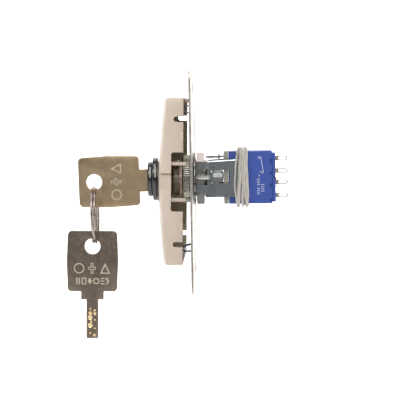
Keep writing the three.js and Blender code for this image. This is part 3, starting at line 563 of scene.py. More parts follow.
def make_cover():
    edges = [0.75, 0.6, 0.47, 0.35, 0.25, 0.16, 0.08, 0.03, 0.0]
    outer, k = pillow_grid(27.0, 1.6, -11.15, 0.75, 22, edges)
    edges_in = [0.75, 0.6, 0.47, 0.35, 0.25, 0.16, 0.08, 0.03, 0.0]
    inner, _ = pillow_grid(25.4, 1.0, -9.45, 0.0, 22, edges_in)
    verts, faces = [], []

    def add(grid):
        base = len(verts)
        for row in grid:
            verts.extend(row)
        return base

    a, b = add(outer), add(inner)
    for i in range(k - 1):
        for j in range(k - 1):
            q = [i * k + j, i * k + j + 1, (i + 1) * k + j + 1, (i + 1) * k + j]
            faces.append([a + t for t in q])
            faces.append([b + t for t in reversed(q)])
    ring = [(0, j) for j in range(k)] + [(i, k - 1) for i in range(1, k)] + \
           [(k - 1, j) for j in range(k - 2, -1, -1)] + [(i, 0) for i in range(k - 2, 0, -1)]

    def wall(base, levels):
        loops = [[base + i * k + j for i, j in ring]]
        for y, inset in levels:
            loop = []
            for i, j in ring:
                v = Vector(verts[base + i * k + j])
                f = 1 - inset / 27.0
                loop.append(len(verts))
                verts.append((v.x * f, y, v.z * f))
            loops.append(loop)
        for p, q in zip(loops, loops[1:]):
            m = len(p)
            for t in range(m):
                faces.append([p[t], p[(t + 1) % m], q[(t + 1) % m], q[t]])
        return loops[-1]

    lo = wall(a, [(-7.0, 0.0), (-5.0, 0.0), (-2.6, 0.0), (-2.46, 0.04), (-2.4, 0.15)])
    li = wall(b, [(-6.0, 0.0), (-2.6, 0.0), (-2.4, -0.12)])
    m = len(lo)
    for t in range(m):
        faces.append([lo[t], lo[(t + 1) % m], li[(t + 1) % m], li[t]])
    o = from_lists("front_cover_fine", verts, faces)
    cut = []
    for s in (-1, 1):
        x0, x1 = (24.7, 28.5) if s > 0 else (-28.5, -24.7)
        wz = 9.5 if s > 0 else 5.2
        cut.append(sheet("c1", [rounded([(-6.3, -wz, 0.7, 6), (-1.4, -wz), (-1.4, wz), (-6.3, wz, 0.7, 6)])],
                         x0, x1, "yz", 0.0, 0))
        for z in (-20.1, 20.1):
            cut.append(sheet("c2", [rounded([(-5.6, z - 0.85, 0.82, 6), (-1.4, z - 0.85), (-1.4, z + 0.85),
                                             (-5.6, z + 0.85, 0.82, 6)])], x0, x1, "yz", 0.0, 0))
        # the recess has bevelled upper and lower ends
        rc = sheet("c3", [[(26.0 * s, -2.0), (28.0 * s, -3.9), (28.0 * s, 2.75), (27.05 * s, 2.75), (26.0 * s, 2.2)][::s]],
                   -13, -5.8, "xz", 0, 0)
        cut.append(rc)
        cut.append(block("c4", min(25.7 * s, 28.5 * s), -13, 2.3, max(25.7 * s, 28.5 * s), -5.8, 2.75, 0))
    boolean(o, cut)
    # painted light: inner faces of the shell take the lighter copy of the cream to lift the shaded inside
    for p in o.data.polygons:
        c = p.center
        p.material_index = 1 if (abs(c.x) < 25.45 and abs(c.z) < 25.45 and
                                 c.y > -11.15 + (c.x ** 2 + c.z ** 2) / 440 + 1.0) else 0
    lean(o)
    boolean(o, [lathe("c4", [(0, -14), (6.15, -14), (6.15, -3), (0, -3)], 64, closed=True)])
    piece(o, "frame", [M["cream"], M["cream_painted_lift"]], "front_cover", sharp=30)
    # snap wedges, ribs and the upper tab, moulded on
    for s in (-1, 1):
        for z in (-14.5, 14.5):
            w = sheet("w", [rounded([(26.8 * s, -3.4), (27.52 * s, -2.8, 0.1, 3), (27.52 * s, -2.43, 0.05, 3),
                                     (26.8 * s, -2.43)][::s])], z - 1.5, z + 1.5, "xy", 0.06, 1)
            w.name = "snap_wedge_%s_%s" % ("r" if s > 0 else "l", "up" if z > 0 else "low")
            piece(lean(w), "frame", M["cream"])
        for z in (-5.85, 5.85):
            r = block("rib", 22.0 if s > 0 else -25.65, -9.0, z - 0.55, 25.65 if s > 0 else -22.0, -1.5, z + 0.55, 0.12)
            r.name = "window_rib_%s_%s" % ("r" if s > 0 else "l", "up" if z > 0 else "low")
            piece(lean(r), "frame", M["cream"])
    t = block("tab", -2.6, -5.0, 25.5, 2.6, -1.2, 26.85, 0.15)
    t.name = "upper_tab"
    piece(lean(t), "frame", M["cream"])


make_cover()


# ------------------------------------------------------------------ cover clips
def strip(name, mid, t, x0, x1, side=1, r=0.5):
    pts = [Vector((p[0], p[1])) for p in rounded([(y, z, (r if 0 < i < len(mid) - 1 else 0), 5)
                                                    for i, (y, z) in enumerate(mid)])]
    left, right = [], []
    for i, p in enumerate(pts):
        a, b = pts[max(0, i - 1)], pts[min(len(pts) - 1, i + 1)]
        d = (b - a).normalized()
        left.append((p.x - d.y * t / 2, (p.y + d.x * t / 2) * side))
        right.append((p.x + d.y * t / 2, (p.y - d.x * t / 2) * side))
    loop = left + right[::-1]
    return sheet(name, [loop], x0, x1, "yz", 0.06, 1)


for name, side, foot in (("upper_cover_clip", 1, 21.1), ("lower_cover_clip", -1, 19.6)):
    o = strip(name + "_fine", [(-1.0, foot), (-1.0, 22.0), (-3.7, 22.5), (-4.3, 23.5), (-3.3, 24.3), (-0.45, 24.4)],
              0.45, -3, 3, side, 0.3)
    piece(o, "frame", M["blued"], name)


# ------------------------------------------------------------------ lock
def arc(cx, cy, r, a0, a1, n=6):
    return [(cx + r * math.cos(math.radians(a0 + (a1 - a0) * i / n)),
             cy + r * math.sin(math.radians(a0 + (a1 - a0) * i / n))) for i in range(n + 1)]


def make_lock():
    # barrel: rolled front rim, neck, then a thread with a plain collar
    prof = [(4.15, -15.2)] + arc(4.45, -15.2, 0.3, 180, 270, 5) + arc(5.45, -15.1, 0.4, -90, 0, 6) + \
           [(5.85, -14.25)] + arc(5.7, -14.25, 0.15, 0, 90, 3) + [(5.62, -13.95), (5.62, -13.75), (5.98, -13.6)]
    y = -12.3
    while y < 4.6:
        if y < -7.0 or y > -3.9:
            prof += [(5.98, y), (5.98, y + 0.1), (5.62, y + 0.36), (5.62, y + 0.44), (5.98, y + 0.7)]
            y += 0.8
        else:
            prof += [(5.98, y), (5.98, y + 0.4)]
            y += 0.8
    prof += [(5.98, 4.8), (5.6, 5.2), (4.15, 5.2)]
    o = lathe("lock_barrel_fine", prof, 96)
    for q in o.data.polygons:
        q.material_index = 1 if q.center.y > -13.0 else 0
    piece(o, "frame", [M["chrome"], M["nut"]], "lock_barrel", sharp=28)

    prof = [(6.02, -13.75)] + arc(6.95, -13.5, 0.3, -90, 0, 6) + arc(6.95, -12.65, 0.3, 0, 90, 6) + [(6.02, -12.35)]
    prof[1:1] = [(6.3, -13.8)]
    o = lathe("bezel_ring_fine", prof, 96)
    piece(o, "frame", M["chrome"], "bezel_ring", sharp=40)

    def wave(r, h, t):
        return r
    # bent spring washer: its faces run in a gentle wave
    n = 96
    verts, faces = [], []
    sec = rounded([(6.2, -0.13, 0.06, 2), (7.68, -0.13, 0.09, 2), (7.68, 0.13, 0.09, 2), (6.2, 0.13, 0.06, 2)])
    for i in range(n):
        t = TAU * i / n
        dy = -12.09 + 0.05 * math.cos(2 * t)
        for r, h in sec:
            verts.append((r * math.sin(t), dy + h, r * math.cos(t)))
    m = len(sec)
    for i in range(n):
        k = (i + 1) % n
        for j in range(m):
            faces.append((i * m + j, k * m + j, k * m + (j + 1) % m, i * m + (j + 1) % m))
    o = from_lists("spring_washer_fine", verts, faces)
    piece(o, "frame", M["chrome"], "spring_washer", sharp=40)

    # knurled nut
    teeth = 72

    def knurl(r, h, t):
        if r < 7.4:
            return r
        f = (t * teeth / TAU) % 1.0
        if f < 0.3:
            return r
        return r - 0.34 * (1 - abs(2 * (f - 0.3) / 0.7 - 1)) * (1 if 7.85 < r else 0.5)
    prof = [(6.04, -4.8), (6.14, -4.9), (6.95, -4.9), (7.1, -4.75), (7.1, -3.9), (7.35, -3.9), (7.6, -3.75), (8.0, -3.5), (8.0, -1.6), (7.6, -1.35),
            (7.35, -1.2), (6.14, -1.2), (6.04, -1.3)]
    o = lathe("knurled_nut_fine", prof, teeth * 8, radial=knurl)
    # painted highlight: the collar takes the bright rose steel and the flat tops of the knurl teeth the near-white
    # screw steel, the grooves keep the nickel
    for q in o.data.polygons:
        c = q.center
        f = (math.atan2(c.x, c.z) * teeth / TAU) % 1.0
        land = f < 0.3 and -3.55 < c.y < -1.6 and math.hypot(c.x, c.z) > 7.5
        q.material_index = 1 if c.y < -3.9 else (2 if land else 0)
    piece(o, "frame", [M["nut"], M["collar"], M["screw"]], "knurled_nut", sharp=25)

    # toothed lock washer, each tooth bent out of the plane
    tn = 14
    loop = []
    for i in range(tn):
        a = TAU * i / tn
        for f, r in ((0.04, 7.7), (0.12, 8.55), (0.2, 8.72), (0.46, 8.72), (0.56, 8.6), (0.66, 7.7)):
            q = a + TAU / tn * f
            loop.append((r * math.cos(q), r * math.sin(q)))
    o = sheet("lock_washer_fine", [loop, circle(0, 0, 6.2, 64)], 0.03, 0.6, "xz", 0.08, 1)
    for v in o.data.vertices:
        r = math.hypot(v.co.x, v.co.z)
        if r > 7.7:
            f = ((math.atan2(v.co.z, v.co.x) / TAU * tn) % 1.0) - 0.35
            v.co.y += 0.28 * f * (r - 7.7) / 1.0 * 0.6
            v.co.y = max(-0.02, min(0.68, v.co.y))
    piece(o, "frame", M["steel"], "lock_washer", sharp=40)

    # hex nut with turned chamfers
    o = sheet("hex_nut_fine", [circle(0, 0, 8.62, 6, math.pi / 2), circle(0, 0, 6.06, 64)], 0.85, 3.5, "xz", 0.0, 0)
    c = lathe("cone", [(0, 0.8), (8.05, 0.8), (8.9, 1.2), (8.9, 3.15), (8.05, 3.55), (0, 3.55)], 128)
    boolean(o, [c], "INTERSECT")
    c = lathe("bore", [(0, 0.5), (6.5, 0.5), (6.5, 0.86), (6.06, 1.2), (6.06, 3.1), (6.5, 3.5), (6.5, 4), (0, 4)], 64)
    boolean(o, [c])
    bevel(o, 0.06, 2, 30)
    # painted light and shade: flats facing up take the lighter copy of the steel, flats facing down the darker copy,
    # the side flats the plain steel
    for q in o.data.polygons:
        q.material_index = 1 if q.normal.z > 0.3 else (2 if q.normal.z < -0.3 else 0)
    piece(o, "frame", [M["hex"], M["hex_painted_lit"], M["hex_painted_shade"]], "hex_nut", sharp=50, flat=True)

    # plug with a keyway; its face carries a turned groove
    prof = [(0, -15.38)] + [(2.9, -15.38), (3.0, -15.28), (3.15, -15.28), (3.25, -15.38)] + \
        arc(3.8, -15.23, 0.15, -90, 0, 3) + [(3.95, 5.25), (2.8, 5.25), (2.8, 5.85), (3.4, 5.85), (3.4, 5.97), (0, 5.97)]
    o = lathe("lock_plug_fine", prof, 96, closed=True)
    cuts = [block("kw", -1.0, -17, -2.45, 1.0, -1.9, 2.45, 0)]
    for y in (-12.0, -8.8, -5.6):
        cuts.append(lathe("ph", [(0, 0.8), (0.8, 0.8), (0.8, 4.5), (0, 4.5)], 24, at=(0, y, 0), axis="x"))
    cuts.append(lathe("sh", [(0, 2.5), (0.75, 2.5), (0.75, 6.5), (0, 6.5)], 24))
    boolean(o, cuts)
    piece(o, "plug", M["plug"], "lock_plug", sharp=30)


make_lock()


# ------------------------------------------------------------------ clamp bracket and its screws
def u_profile(xo, xi, y0, y1, yb, r):
    """Bent sheet seen along Z: a base with two arms."""
    t = xo - xi
    return rounded([(-xo, y1, 0), (-xo, y0, r + t * 0.5, 6), (xo, y0, r + t * 0.5, 6), (xo, y1, 0), (xi, y1, 0),
                    (xi, yb, r, 5), (-xi, yb, r, 5), (-xi, y1, 0)])


def make_bracket():
    base = sheet("clamp_bracket_fine", [u_profile(7.8, 7.0, 3.9, 15.4, 4.7, 0.5)], -6.0, 6.6, "xy", 0.0, 0)
    wedge = sheet("wd", [[(3.0, 6.0), (3.9, 6.0), (15.4, 6.6), (16.0, 6.6), (16.0, 8.0), (3.0, 8.0)]], -9, 9, "yz", 0, 0)
    boolean(base, [wedge])
    # chamfer along the outer upper edge of each arm
    for s in (-1, 1):
        vs = []
        for y in (3.5, 15.9):
            top = 6.0 + (y - 3.9) * 0.6 / 11.5
            vs += [(7.4 * s, y, top + 0.05), (8.3 * s, y, top + 0.2), (7.85 * s, y, top - 0.44)]
        fs = [(0, 1, 2), (5, 4, 3), (0, 3, 4, 1), (1, 4, 5, 2), (2, 5, 3, 0)]
        boolean(base, [tidy(from_lists("ch", vs, fs))])
    # rounded arm ends and windows
    cuts = [sheet("w", [rect(6.7, -1.5, 12.0, 2.9, 0.5, 5)], -9, 9, "yz", 0, 0)]
    for s, top in ((-1, 6.0), (1, 6.58)):
        cuts.append(sheet("c", [[(15.5, (top + 0.4) * s), (15.5, (top - 1.3) * s)] +
                                [(14.1 + 1.3 * math.cos(math.radians(a)), (top - 1.3 + 1.3 * math.sin(math.radians(a))) * s)
                                 for a in range(0, 91, 10)] + [(13.9, (top + 0.4) * s)]], -9, 9, "yz", 0, 0))
    boolean(base, cuts)
    adds = []
    for s in (-1, 1):
        for z0, z1 in ((3.3, 5.9), (-4.9, -1.9)):
            # ears with tongues bent forwards
            prof = rounded([(6.9, 3.9), (8.2, 3.9, 0.25, 4), (8.2, 0.85, 0.15, 3), (9.0, 0.85, 0.15, 3),
                            (9.0, 4.7, 0.7, 6), (6.9, 4.7)])
            loop = [(x * s, y) for x, y in prof]
            adds.append(sheet("t", [loop[::s]], z0, z1, "xy", 0, 0))
        # threaded tab bent outwards from the window
        prof = rounded([(7.0, 5.55), (11.1, 5.55, 0.15, 3), (11.1, 6.35, 0.15, 3), (7.8, 6.35), (7.8, 6.68), (7.0, 6.68)])
        loop = [(x * s, y) for x, y in prof]
        tab = sheet("tab", [loop[::s]], -1.5, 2.9, "xy", 0, 0)
        m = sheet("m", [rounded([(6.0 * s, -1.5), (11.1 * s, -1.5, 0.9, 6), (11.1 * s, 2.9, 0.9, 6),
                                 (6.0 * s, 2.9)][::s])], 5, 8, "xz", 0, 0)
        boolean(tab, [m], "INTERSECT")
        adds.append(tab)
    boolean(base, adds, "UNION")
    cuts = [lathe("h", [(0, 3), (6.15, 3), (6.15, 5.3), (0, 5.3)], 64)]
    for s in (-1, 1):
        cuts.append(lathe("h", [(0, 5.2), (0.88, 5.2), (0.88, 6.8), (0, 6.8)], 24, at=(9.4 * s, 0, 0.7)))
    boolean(base, cuts)
    bevel(base, 0.1, 2, 50)
    # painted highlight: upward-facing faces along the arms' upper edges and on the window sill take the near-white
    # steel
    for q in base.data.polygons:
        c, nz = q.center, q.normal.z
        top = c.y > 4.6 and c.z > 5.6 and nz > 0.25
        sill = 6.6 < c.y < 12.1 and -1.9 < c.z < -1.2 and nz > 0.2
        q.material_index = 1 if top or sill else 0
    piece(base, "frame", [M["bracket"], M["edge"]], "clamp_bracket", sharp=50, flat=True)

    for name, s in (("clamp_screw_right", 1), ("clamp_screw_left", -1)):
        prof = [(0, 0.3), (0.14, 0.32), (0.78, 1.7)]
        y = 1.8
        while y < 6.0:
            prof += [(0.79, y), (0.71, y + 0.16), (0.79, y + 0.32)]
            y += 0.34
        prof += [(0.78, 6.3), (0.78, 6.6), (0, 6.6)]
        o = lathe(name + "_fine", prof, 40, closed=False, at=(9.4 * s, 0, 0.7))
        head = sheet("hx", [circle(9.4 * s, 0.7, 1.7, 6)], 6.42, 9.88, "xz", 0, 0)
        cone = lathe("cn", [(0, 6.3), (1.45, 6.3), (1.75, 6.62), (1.75, 9.3), (1.15, 9.9), (0, 9.9)], 48, at=(9.4 * s, 0, 0.7))
        boolean(head, [cone], "INTERSECT")
        boolean(o, [head], "UNION")
        bevel(o, 0.06, 2, 30)
        # lit and shaded copies of one steel: the shaft takes the near-white steel as painted highlight, the head the
        # darker copy as painted shade
        for q in o.data.polygons:
            q.material_index = 1 if q.center.y > 6.35 else 0
        piece(o, "frame", [M["screw"], M["head"]], name, sharp=50, flat=True)


make_bracket()


# ------------------------------------------------------------------ switch block
RISE = 0.25
MID = 0.38
LUGS = tuple(z + RISE for z in (6.2, 2.0, -1.8, -6.2))


def make_block():
    prof = [(0, 4.0), (0.5, 4.02), (0.6, 4.14), (0.6, 8.2)] + arc(0.83, 8.32, 0.12, -90, 0, 3) + \
        arc(0.83, 8.58, 0.12, 0, 90, 3) + [(0.5, 8.72), (0.5, 9.9), (0, 9.9)]
    o = lathe("locating_pin_fine", prof, 40, closed=False, at=(0, 0, 7.4))
    piece(o, "frame", M["steel"], "locating_pin", sharp=35)

    o = block("switch_front_plate_fine", -6.8, 9.96, -8.73 + MID, 6.8, 11.55, 8.73 + MID, 0.22, 4)
    cuts = [lathe("h", [(0, 9), (1.45, 9), (1.45, 12.5), (0, 12.5)], 40, at=(0, 0, -3.3))]
    for z in (-6.4, 6.4):
        for s in (-1, 1):
            cuts.append(lathe("r", [(0, 6.6), (0.75, 6.6), (0.75, 7.2), (0, 7.2)], 24, at=(0, 10.75, z), axis="x")
                        if s > 0 else
                        lathe("r", [(0, -7.2), (0.75, -7.2), (0.75, -6.6), (0, -6.6)], 24, at=(0, 10.75, z), axis="x"))
    boolean(o, cuts)
    piece(o, "frame", M["grey"], "switch_front_plate", sharp=50, flat=True)

    o = block("switch_housing_fine", -6.8, 11.6, -8.73 + MID, 6.8, 26.05, 8.73 + MID, 0.22, 4)
    cuts = [block("in", -5.6, 10, -7.53 + MID, 5.6, 24.85, 7.53 + MID, 0)]
    for z in LUGS:
        cuts.append(block("sl", -0.33, 23, z - 0.9, 0.33, 27, z + 0.9, 0))
    # small moulding pockets at the rear edge of both flanks
    for s in (-1, 1):
        for z, h in ((5.55, 0.75), (1.75, 0.25), (-2.45, 0.75), (-7.2, 0.35)):
            cuts.append(block("n", 6.1 if s > 0 else -7, 25.25, z - h, 7 if s > 0 else -6.1, 26.5, z + h, 0))
    boolean(o, cuts)
    piece(o, "frame", [M["blue"]], "switch_housing", sharp=50, flat=True)

    o = block("terminal_block_fine", -6.4, 26.1, -8.1 + RISE, 6.4, 27.2, 8.1 + RISE, 0.15, 3)
    cuts = []
    for z in LUGS:
        cuts.append(block("sl", -0.33, 25, z - 0.9, 0.33, 28, z + 0.9, 0))
    for z in (4.35, 0.35, -3.75):
        for s in (-1, 1):
            cuts.append(block("n", 1.6 if s > 0 else -7, 26.6, z - 0.45, 7 if s > 0 else -1.6, 28, z + 0.45, 0))
    boolean(o, cuts)
    piece(o, "frame", [M["blue"]], "terminal_block", sharp=50, flat=True)

    for i, z in enumerate(LUGS):
        o = sheet("terminal_%d_fine" % (i + 1),
                  [rounded([(18.45, z - 0.8, 0), (31.45, z - 0.8, 0.78, 8), (31.45, z + 0.8, 0.78, 8), (18.45, z + 0.8, 0)]),
                   rect(28.3, z - 0.45, 31.05, z + 0.45, 0.445, 8)], -0.25, 0.25, "yz", 0.07, 2)
        for v in o.data.vertices:
            v.co.z = z + (v.co.z - z) * (1 if v.co.y < 28.4 else 0.985)
        r = lathe("rv", arc(0.6, 17.9, 0.2, 180, 180, 1)[:0] + [(0, 17.7), (0.65, 17.7), (0.8, 17.85), (0.8, 18.6), (0, 18.6)],
                  32, at=(0, 0, z))
        boolean(o, [r], "UNION")
        piece(o, "frame", M["tin"], "terminal_%d" % (i + 1), sharp=32)

    for name, z, key in (("mark_orange", 2.05, "orange"), ("mark_red", -0.35, "red")):
        prof = [(0, 27.2)] + [(0.62, 27.22)] + arc(0.0, 27.22, 0.6, 12, 90, 8)
        prof = [(r, 27.22 + (h - 27.22) * 0.62) for r, h in prof]
        prof[0] = (0, 27.21)
        prof[-1] = (0, prof[-1][1])
        o = lathe(name + "_fine", prof, 32, closed=False, at=(1.5, 0, z))
        piece(o, "frame", M[key], name, sharp=50)

    # printed contact symbol and plain ruled marks on both flanks, raised by a film of ink
    def ink(name, pts, w, side):
        (y0, z0), (y1, z1) = pts
        d = Vector((y1 - y0, z1 - z0)).normalized()
        nx, nz = -d.y * w / 2, d.x * w / 2
        loop = [(y0 + nx, z0 + nz), (y0 - nx, z0 - nz), (y1 - nx, z1 - nz), (y1 + nx, z1 + nz)]
        a, b = (6.79, 6.812) if side > 0 else (-6.812, -6.79)
        return sheet(name, [loop], a, b, "yz", 0.0, 0)
    for side in (1, -1):
        # contact symbol: a slanting blade between two small hooks
        bars = [((22.35, 6.85), (23.15, 1.95)), ((23.15, 1.95), (22.55, 1.75)), ((21.35, 6.55), (22.3, 7.2)),
                ((21.5, 7.25), (22.3, 6.6)), ((21.9, 2.2), (22.6, 2.2)), ((21.7, 1.2), (21.7, 0.6))]
        objs = [ink("i", b, 0.2, side) for b in bars]
        # rows of short strokes where the rating stands
        for y, z0, z1, gap, w in ((21.5, -0.2, -5.2, 0.62, 0.5), (22.9, -2.1, -5.0, 0.72, 0.62)):
            z, k = z0, 0
            while z > z1:
                if (k * 3) % 7 != 5:
                    if k % 3 == 0:
                        objs.append(ink("i", ((y - w, z), (y + w * 0.8, z)), 0.2, side))
                    elif k % 3 == 1:
                        objs.append(ink("i", ((y - w, z), (y - w * 0.2, z)), 0.26, side))
                        objs.append(ink("i", ((y + w * 0.3, z), (y + w * 0.8, z)), 0.26, side))
                    else:
                        objs.append(ink("i", ((y - w * 0.9, z + 0.14), (y + w * 0.7, z - 0.1)), 0.2, side))
                z -= gap
                k += 1
        o = join("block_print_%s" % ("right" if side > 0 else "left"), objs)
        piece(o, "frame", M["print"])


make_block()


# ------------------------------------------------------------------ rubber band
def make_band():
    """Two twisted turns of a flat elastic round the block and the bracket's arms."""
    strands = []
    sets = [
        # y at: right flank, top, left flank, bottom; radial offset; section turns; phase; wobble; bulge on the flanks
        (13.75, 15.35, 14.2, 14.9, 0.0, 1, 0.3, 0.0, 0.45),
        (15.1, 15.9, 15.4, 14.5, 0.28, 2, 1.2, 0.9, 0.15),
        (16.3, 16.8, 16.4, 16.4, 0.0, 1, 2.2, 2.0, 0.1),
        (17.6, 17.2, 17.5, 17.3, 0.30, 2, 0.4, 3.4, 0.2),
        (16.9, 16.2, 15.9, 17.9, 0.52, 1, 1.7, 5.1, 0.0),
    ]
    base = rounded([(8.46, -8.95, 1.3, 8), (8.46, 9.72, 1.3, 8), (-8.46, 9.72, 1.3, 8), (-8.46, -8.95, 1.3, 8)])
    # even spacing round the loop
    P = [Vector(p) for p in base]
    n = 260
    seg = [(P[(i + 1) % len(P)] - P[i]).length for i in range(len(P))]
    tot = sum(seg)
    pts = []
    for k in range(n):
        s = tot * k / n
        i = 0
        while s > seg[i]:
            s -= seg[i]
            i += 1
        pts.append(P[i].lerp(P[(i + 1) % len(P)], s / seg[i]))
    for idx, (yr, yt, yl, yb, off, tw, ph, wob, bulge) in enumerate(sets):
        path = []
        for k, p in enumerate(pts):
            a = math.atan2(p.y, p.x)
            c, s = math.cos(a), math.sin(a)
            wr, wt, wl, wb = max(0, c) ** 3, max(0, s) ** 3, max(0, -c) ** 3, max(0, -s) ** 3
            y = (yr * wr + yt * wt + yl * wl + yb * wb) / (wr + wt + wl + wb)
            y += 0.14 * math.sin(4 * a + wob) + 0.06 * math.sin(9 * a + 2 * wob) - bulge * (abs(c) ** 6) * 0.3
            o = off * (0.3 + 0.7 * max(0, math.sin(a * 0.5 + wob)) ** 2) + 0.04 * math.sin(6 * a + wob)
            q = p.normalized() * o
            x, z = p.x + q.x, p.y + q.y
            x = max(-8.78, min(8.78, x))
            z = max(-9.35, min(10.1, z))
            y = max(13.55, min(18.15, y))
            path.append((x, y, z))
        sec = rounded([(-0.25, -0.62, 0.22, 4), (0.25, -0.62, 0.22, 4), (0.25, 0.62, 0.22, 4), (-0.25, 0.62, 0.22, 4)])
        o = sweep("b", path, sec, closed=True, up=(1, 0, 0),
                  twist=lambda t, tw=tw, ph=ph, wob=wob: 0.32 * math.sin(TAU * t * tw + ph) + 0.22 * math.sin(TAU * 3 * t + wob))
        strands.append(o)
    o = join("rubber_band_fine", strands)
    piece(o, "frame", M["rubber"], "rubber_band", sharp=60)


make_band()


# ------------------------------------------------------------------ keys and split ring
def key_outline():
    end, bow = -5.24, 15.21
    sh, tip = 17.96, 31.11
    half = [(end, 8.27, 1.5, 10), ((end + bow) / 2, 8.68, 30, 10), (bow, 8.27, 1.2, 8), (bow, 3.8, 0.25, 3),
            (sh, 3.8, 0.35, 4), (sh, 2.0, 0.2, 3), (tip, 2.0, 0.42, 5)]
    other = [(u, -v, r, s) for u, v, r, s in reversed(half)]
    return rounded(other + half)


DIMPLES = [(21.06, -0.67, 0.32), (22.6, -0.67, 0.6), (24.1, -0.7, 0.82), (26.75, -0.7, 0.85), (29.3, -0.67, 0.36),
           (25.4, -0.35, 0.42), (21.6, 0.8, 0.4), (22.75, 0.85, 0.52), (24.8, 0.85, 0.3), (27.7, 0.85, 0.28),
           (30.0, 0.75, 0.5)]


def make_key(name, place, body, base, replaced, second_row=False):
    """(u, v) across the flat, w through it; place maps (u, v, w) into the frame."""
    o = sheet(name, [key_outline(), circle(0, 0, 2.65, 64)], -0.9, 0.9, "xy", 0.14, 3)
    o.data.materials.append(base)
    cuts = []

    def cutter(loops, s, depth=0.14):
        a, b = (0.9 - depth, 1.2) if s > 0 else (-1.2, -0.9 + depth)
        c = sheet("c", loops, a, b, "xy", 0, 0)
        return c
    marks = []
    for s in (1, -1):
        # three plain signs in outline
        u0 = 7.4
        marks.append(cutter([circle(u0, -4.5, 1.8, 40), circle(u0, -4.5, 1.38, 40)], s))
        plus = [(u0 - 1.85, -0.55), (u0 - 0.5, -0.55), (u0 - 0.5, -1.4), (u0 + 0.5, -1.4), (u0 + 0.5, -0.55),
                (u0 + 1.85, -0.55), (u0 + 1.85, 0.35), (u0 + 0.5, 0.35), (u0 + 0.5, 1.2), (u0 - 0.5, 1.2),
                (u0 - 0.5, 0.35), (u0 - 1.85, 0.35)]
        pin = [(u0 - 1.5, -0.25), (u0 - 0.2, -0.25), (u0 - 0.2, -1.1), (u0 + 0.2, -1.1), (u0 + 0.2, -0.25),
               (u0 + 1.5, -0.25), (u0 + 1.5, 0.05), (u0 + 0.2, 0.05), (u0 + 0.2, 0.9), (u0 - 0.2, 0.9),
               (u0 - 0.2, 0.05), (u0 - 1.5, 0.05)]
        marks.append(cutter([plus, pin], s))
        tri = [(u0 + 1.85, 2.5), (u0 + 1.85, 6.1), (u0 - 1.85, 4.3)]
        tin = [(u0 + 1.4, 3.2), (u0 + 1.4, 5.4), (u0 - 0.85, 4.3)]
        marks.append(cutter([tri, tin], s))
        if second_row:
            # plain bold shapes: double bar, square, diamond, ring, three bars, chevron
            u1, h = 11.7, 1.15
            t = 0.36
            marks.append(cutter([rect(u1 - h, -5.5, u1 + h, -5.5 + t + 0.1)], s, 0.1))
            marks.append(cutter([rect(u1 - h, -4.65, u1 + h, -4.65 + t + 0.1)], s, 0.1))
            marks.append(cutter([rect(u1 - h, -3.6, u1 + h, -2.0), rect(u1 - h + t, -3.6 + t, u1 + h - t, -2.0 - t)], s, 0.1))
            marks.append(cutter([[(u1 - h, -0.85), (u1, -1.65), (u1 + h, -0.85), (u1, -0.05)]], s, 0.1))
            marks.append(cutter([circle(u1, 1.3, 1.1, 32), circle(u1, 1.3, 0.68, 32)], s, 0.1))
            for k in (-1, 0, 1):
                marks.append(cutter([rect(u1 + k * 0.88 - 0.2, 2.75, u1 + k * 0.88 + 0.2, 4.1)], s, 0.1))
            marks.append(cutter([[(u1 - h, 4.4), (u1 - h + 0.45, 4.4), (u1 + 0.1, 5.2), (u1 + h, 4.4), (u1 + h, 4.95),
                                  (u1 + 0.1, 5.75), (u1 - h, 4.95)]], s, 0.1))
    for c in marks:
        c.data.materials.append(M["mark"])
    pits = []
    for u, v, r in DIMPLES:
        for s in (1, -1):
            d = 0.36 * min(1, r / 0.6)
            prof = [(0, 0), (r * 0.35, 0.02), (r * 0.98, d), (r * 1.02, d + 0.3), (0, d + 0.3)]
            if s > 0:
                p = [(q, 0.9 - d + h) for q, h in prof]
            else:
                p = [(q, -(0.9 - d + h)) for q, h in prof]
            c = lathe("p", p, 28, at=(u, v * s, 0), axis="z")
            c.data.materials.append(M["pit"])
            pits.append(c)
    for c in marks + pits:
        m = o.modifiers.new("b", "BOOLEAN")
        m.object = c
        m.operation = "DIFFERENCE"
        m.solver = "EXACT"
        m.material_mode = "TRANSFER"
    baked(o)
    for c in marks + pits:
        drop(c)
    order = [mm.name if mm else "" for mm in o.data.materials]
    want = {base.name: 0, M["mark"].name: 1, M["pit"].name: 2}
    for p in o.data.polygons:
        p.material_index = want.get(order[p.material_index] if p.material_index < len(order) else "", 0)
    for v in o.data.vertices:
        v.co = place(v.co.x, v.co.y, v.co.z)
    return piece(o, body, [base, M["mark"], M["pit"]], replaced, sharp=30)


TILT = math.radians(1.2)
KY, KZ = -33.6, -0.73
ct, st_ = math.cos(TILT), math.sin(TILT)
make_key("key_in_lock_fine", lambda u, v, w: (w, KY + u * ct - v * st_, KZ + u * st_ + v * ct), "key", M["key"],
         "key_in_lock")
RZ = KZ - 11.0
SY, SZ = KY - 1.0, RZ - 9.4 - 1.2
# local (y, z) = (v, -u), leaned by -TILT about X
make_key("spare_key_fine", lambda u, v, w: (w, SY + v * ct - u * st_, SZ - v * st_ - u * ct), "spare", M["key2"],
         "spare_key", True)


def make_ring():
    r = 9.4
    wire = 0.43
    n = 420
    turns = 1.93
    path = []
    for i in range(n + 1):
        t = i / n
        a = TAU * turns * t + 2.5
        # each turn stays flat and crosses over in a short ramp
        s = turns * t
        k = min(1, max(0, (s - 0.86) / 0.22))
        k = k * k * (3 - 2 * k)
        y = KY - 0.45 + 0.9 * k
        path.append((r * math.sin(a), y, RZ + r * math.cos(a)))
    sec = [(wire * math.cos(TAU * j / 16), wire * math.sin(TAU * j / 16)) for j in range(16)]
    o = sweep("split_ring_fine", path, sec, False, (0, 1, 0),
              scale=lambda t: min(1, 0.55 + 0.45 * math.sqrt(min(1, t / 0.006)) if t < 0.006 else
                                  (0.55 + 0.45 * math.sqrt((1 - t) / 0.006) if t > 0.994 else 1)))
    piece(o, "ring", M["ring"], "split_ring", sharp=45)


make_ring()


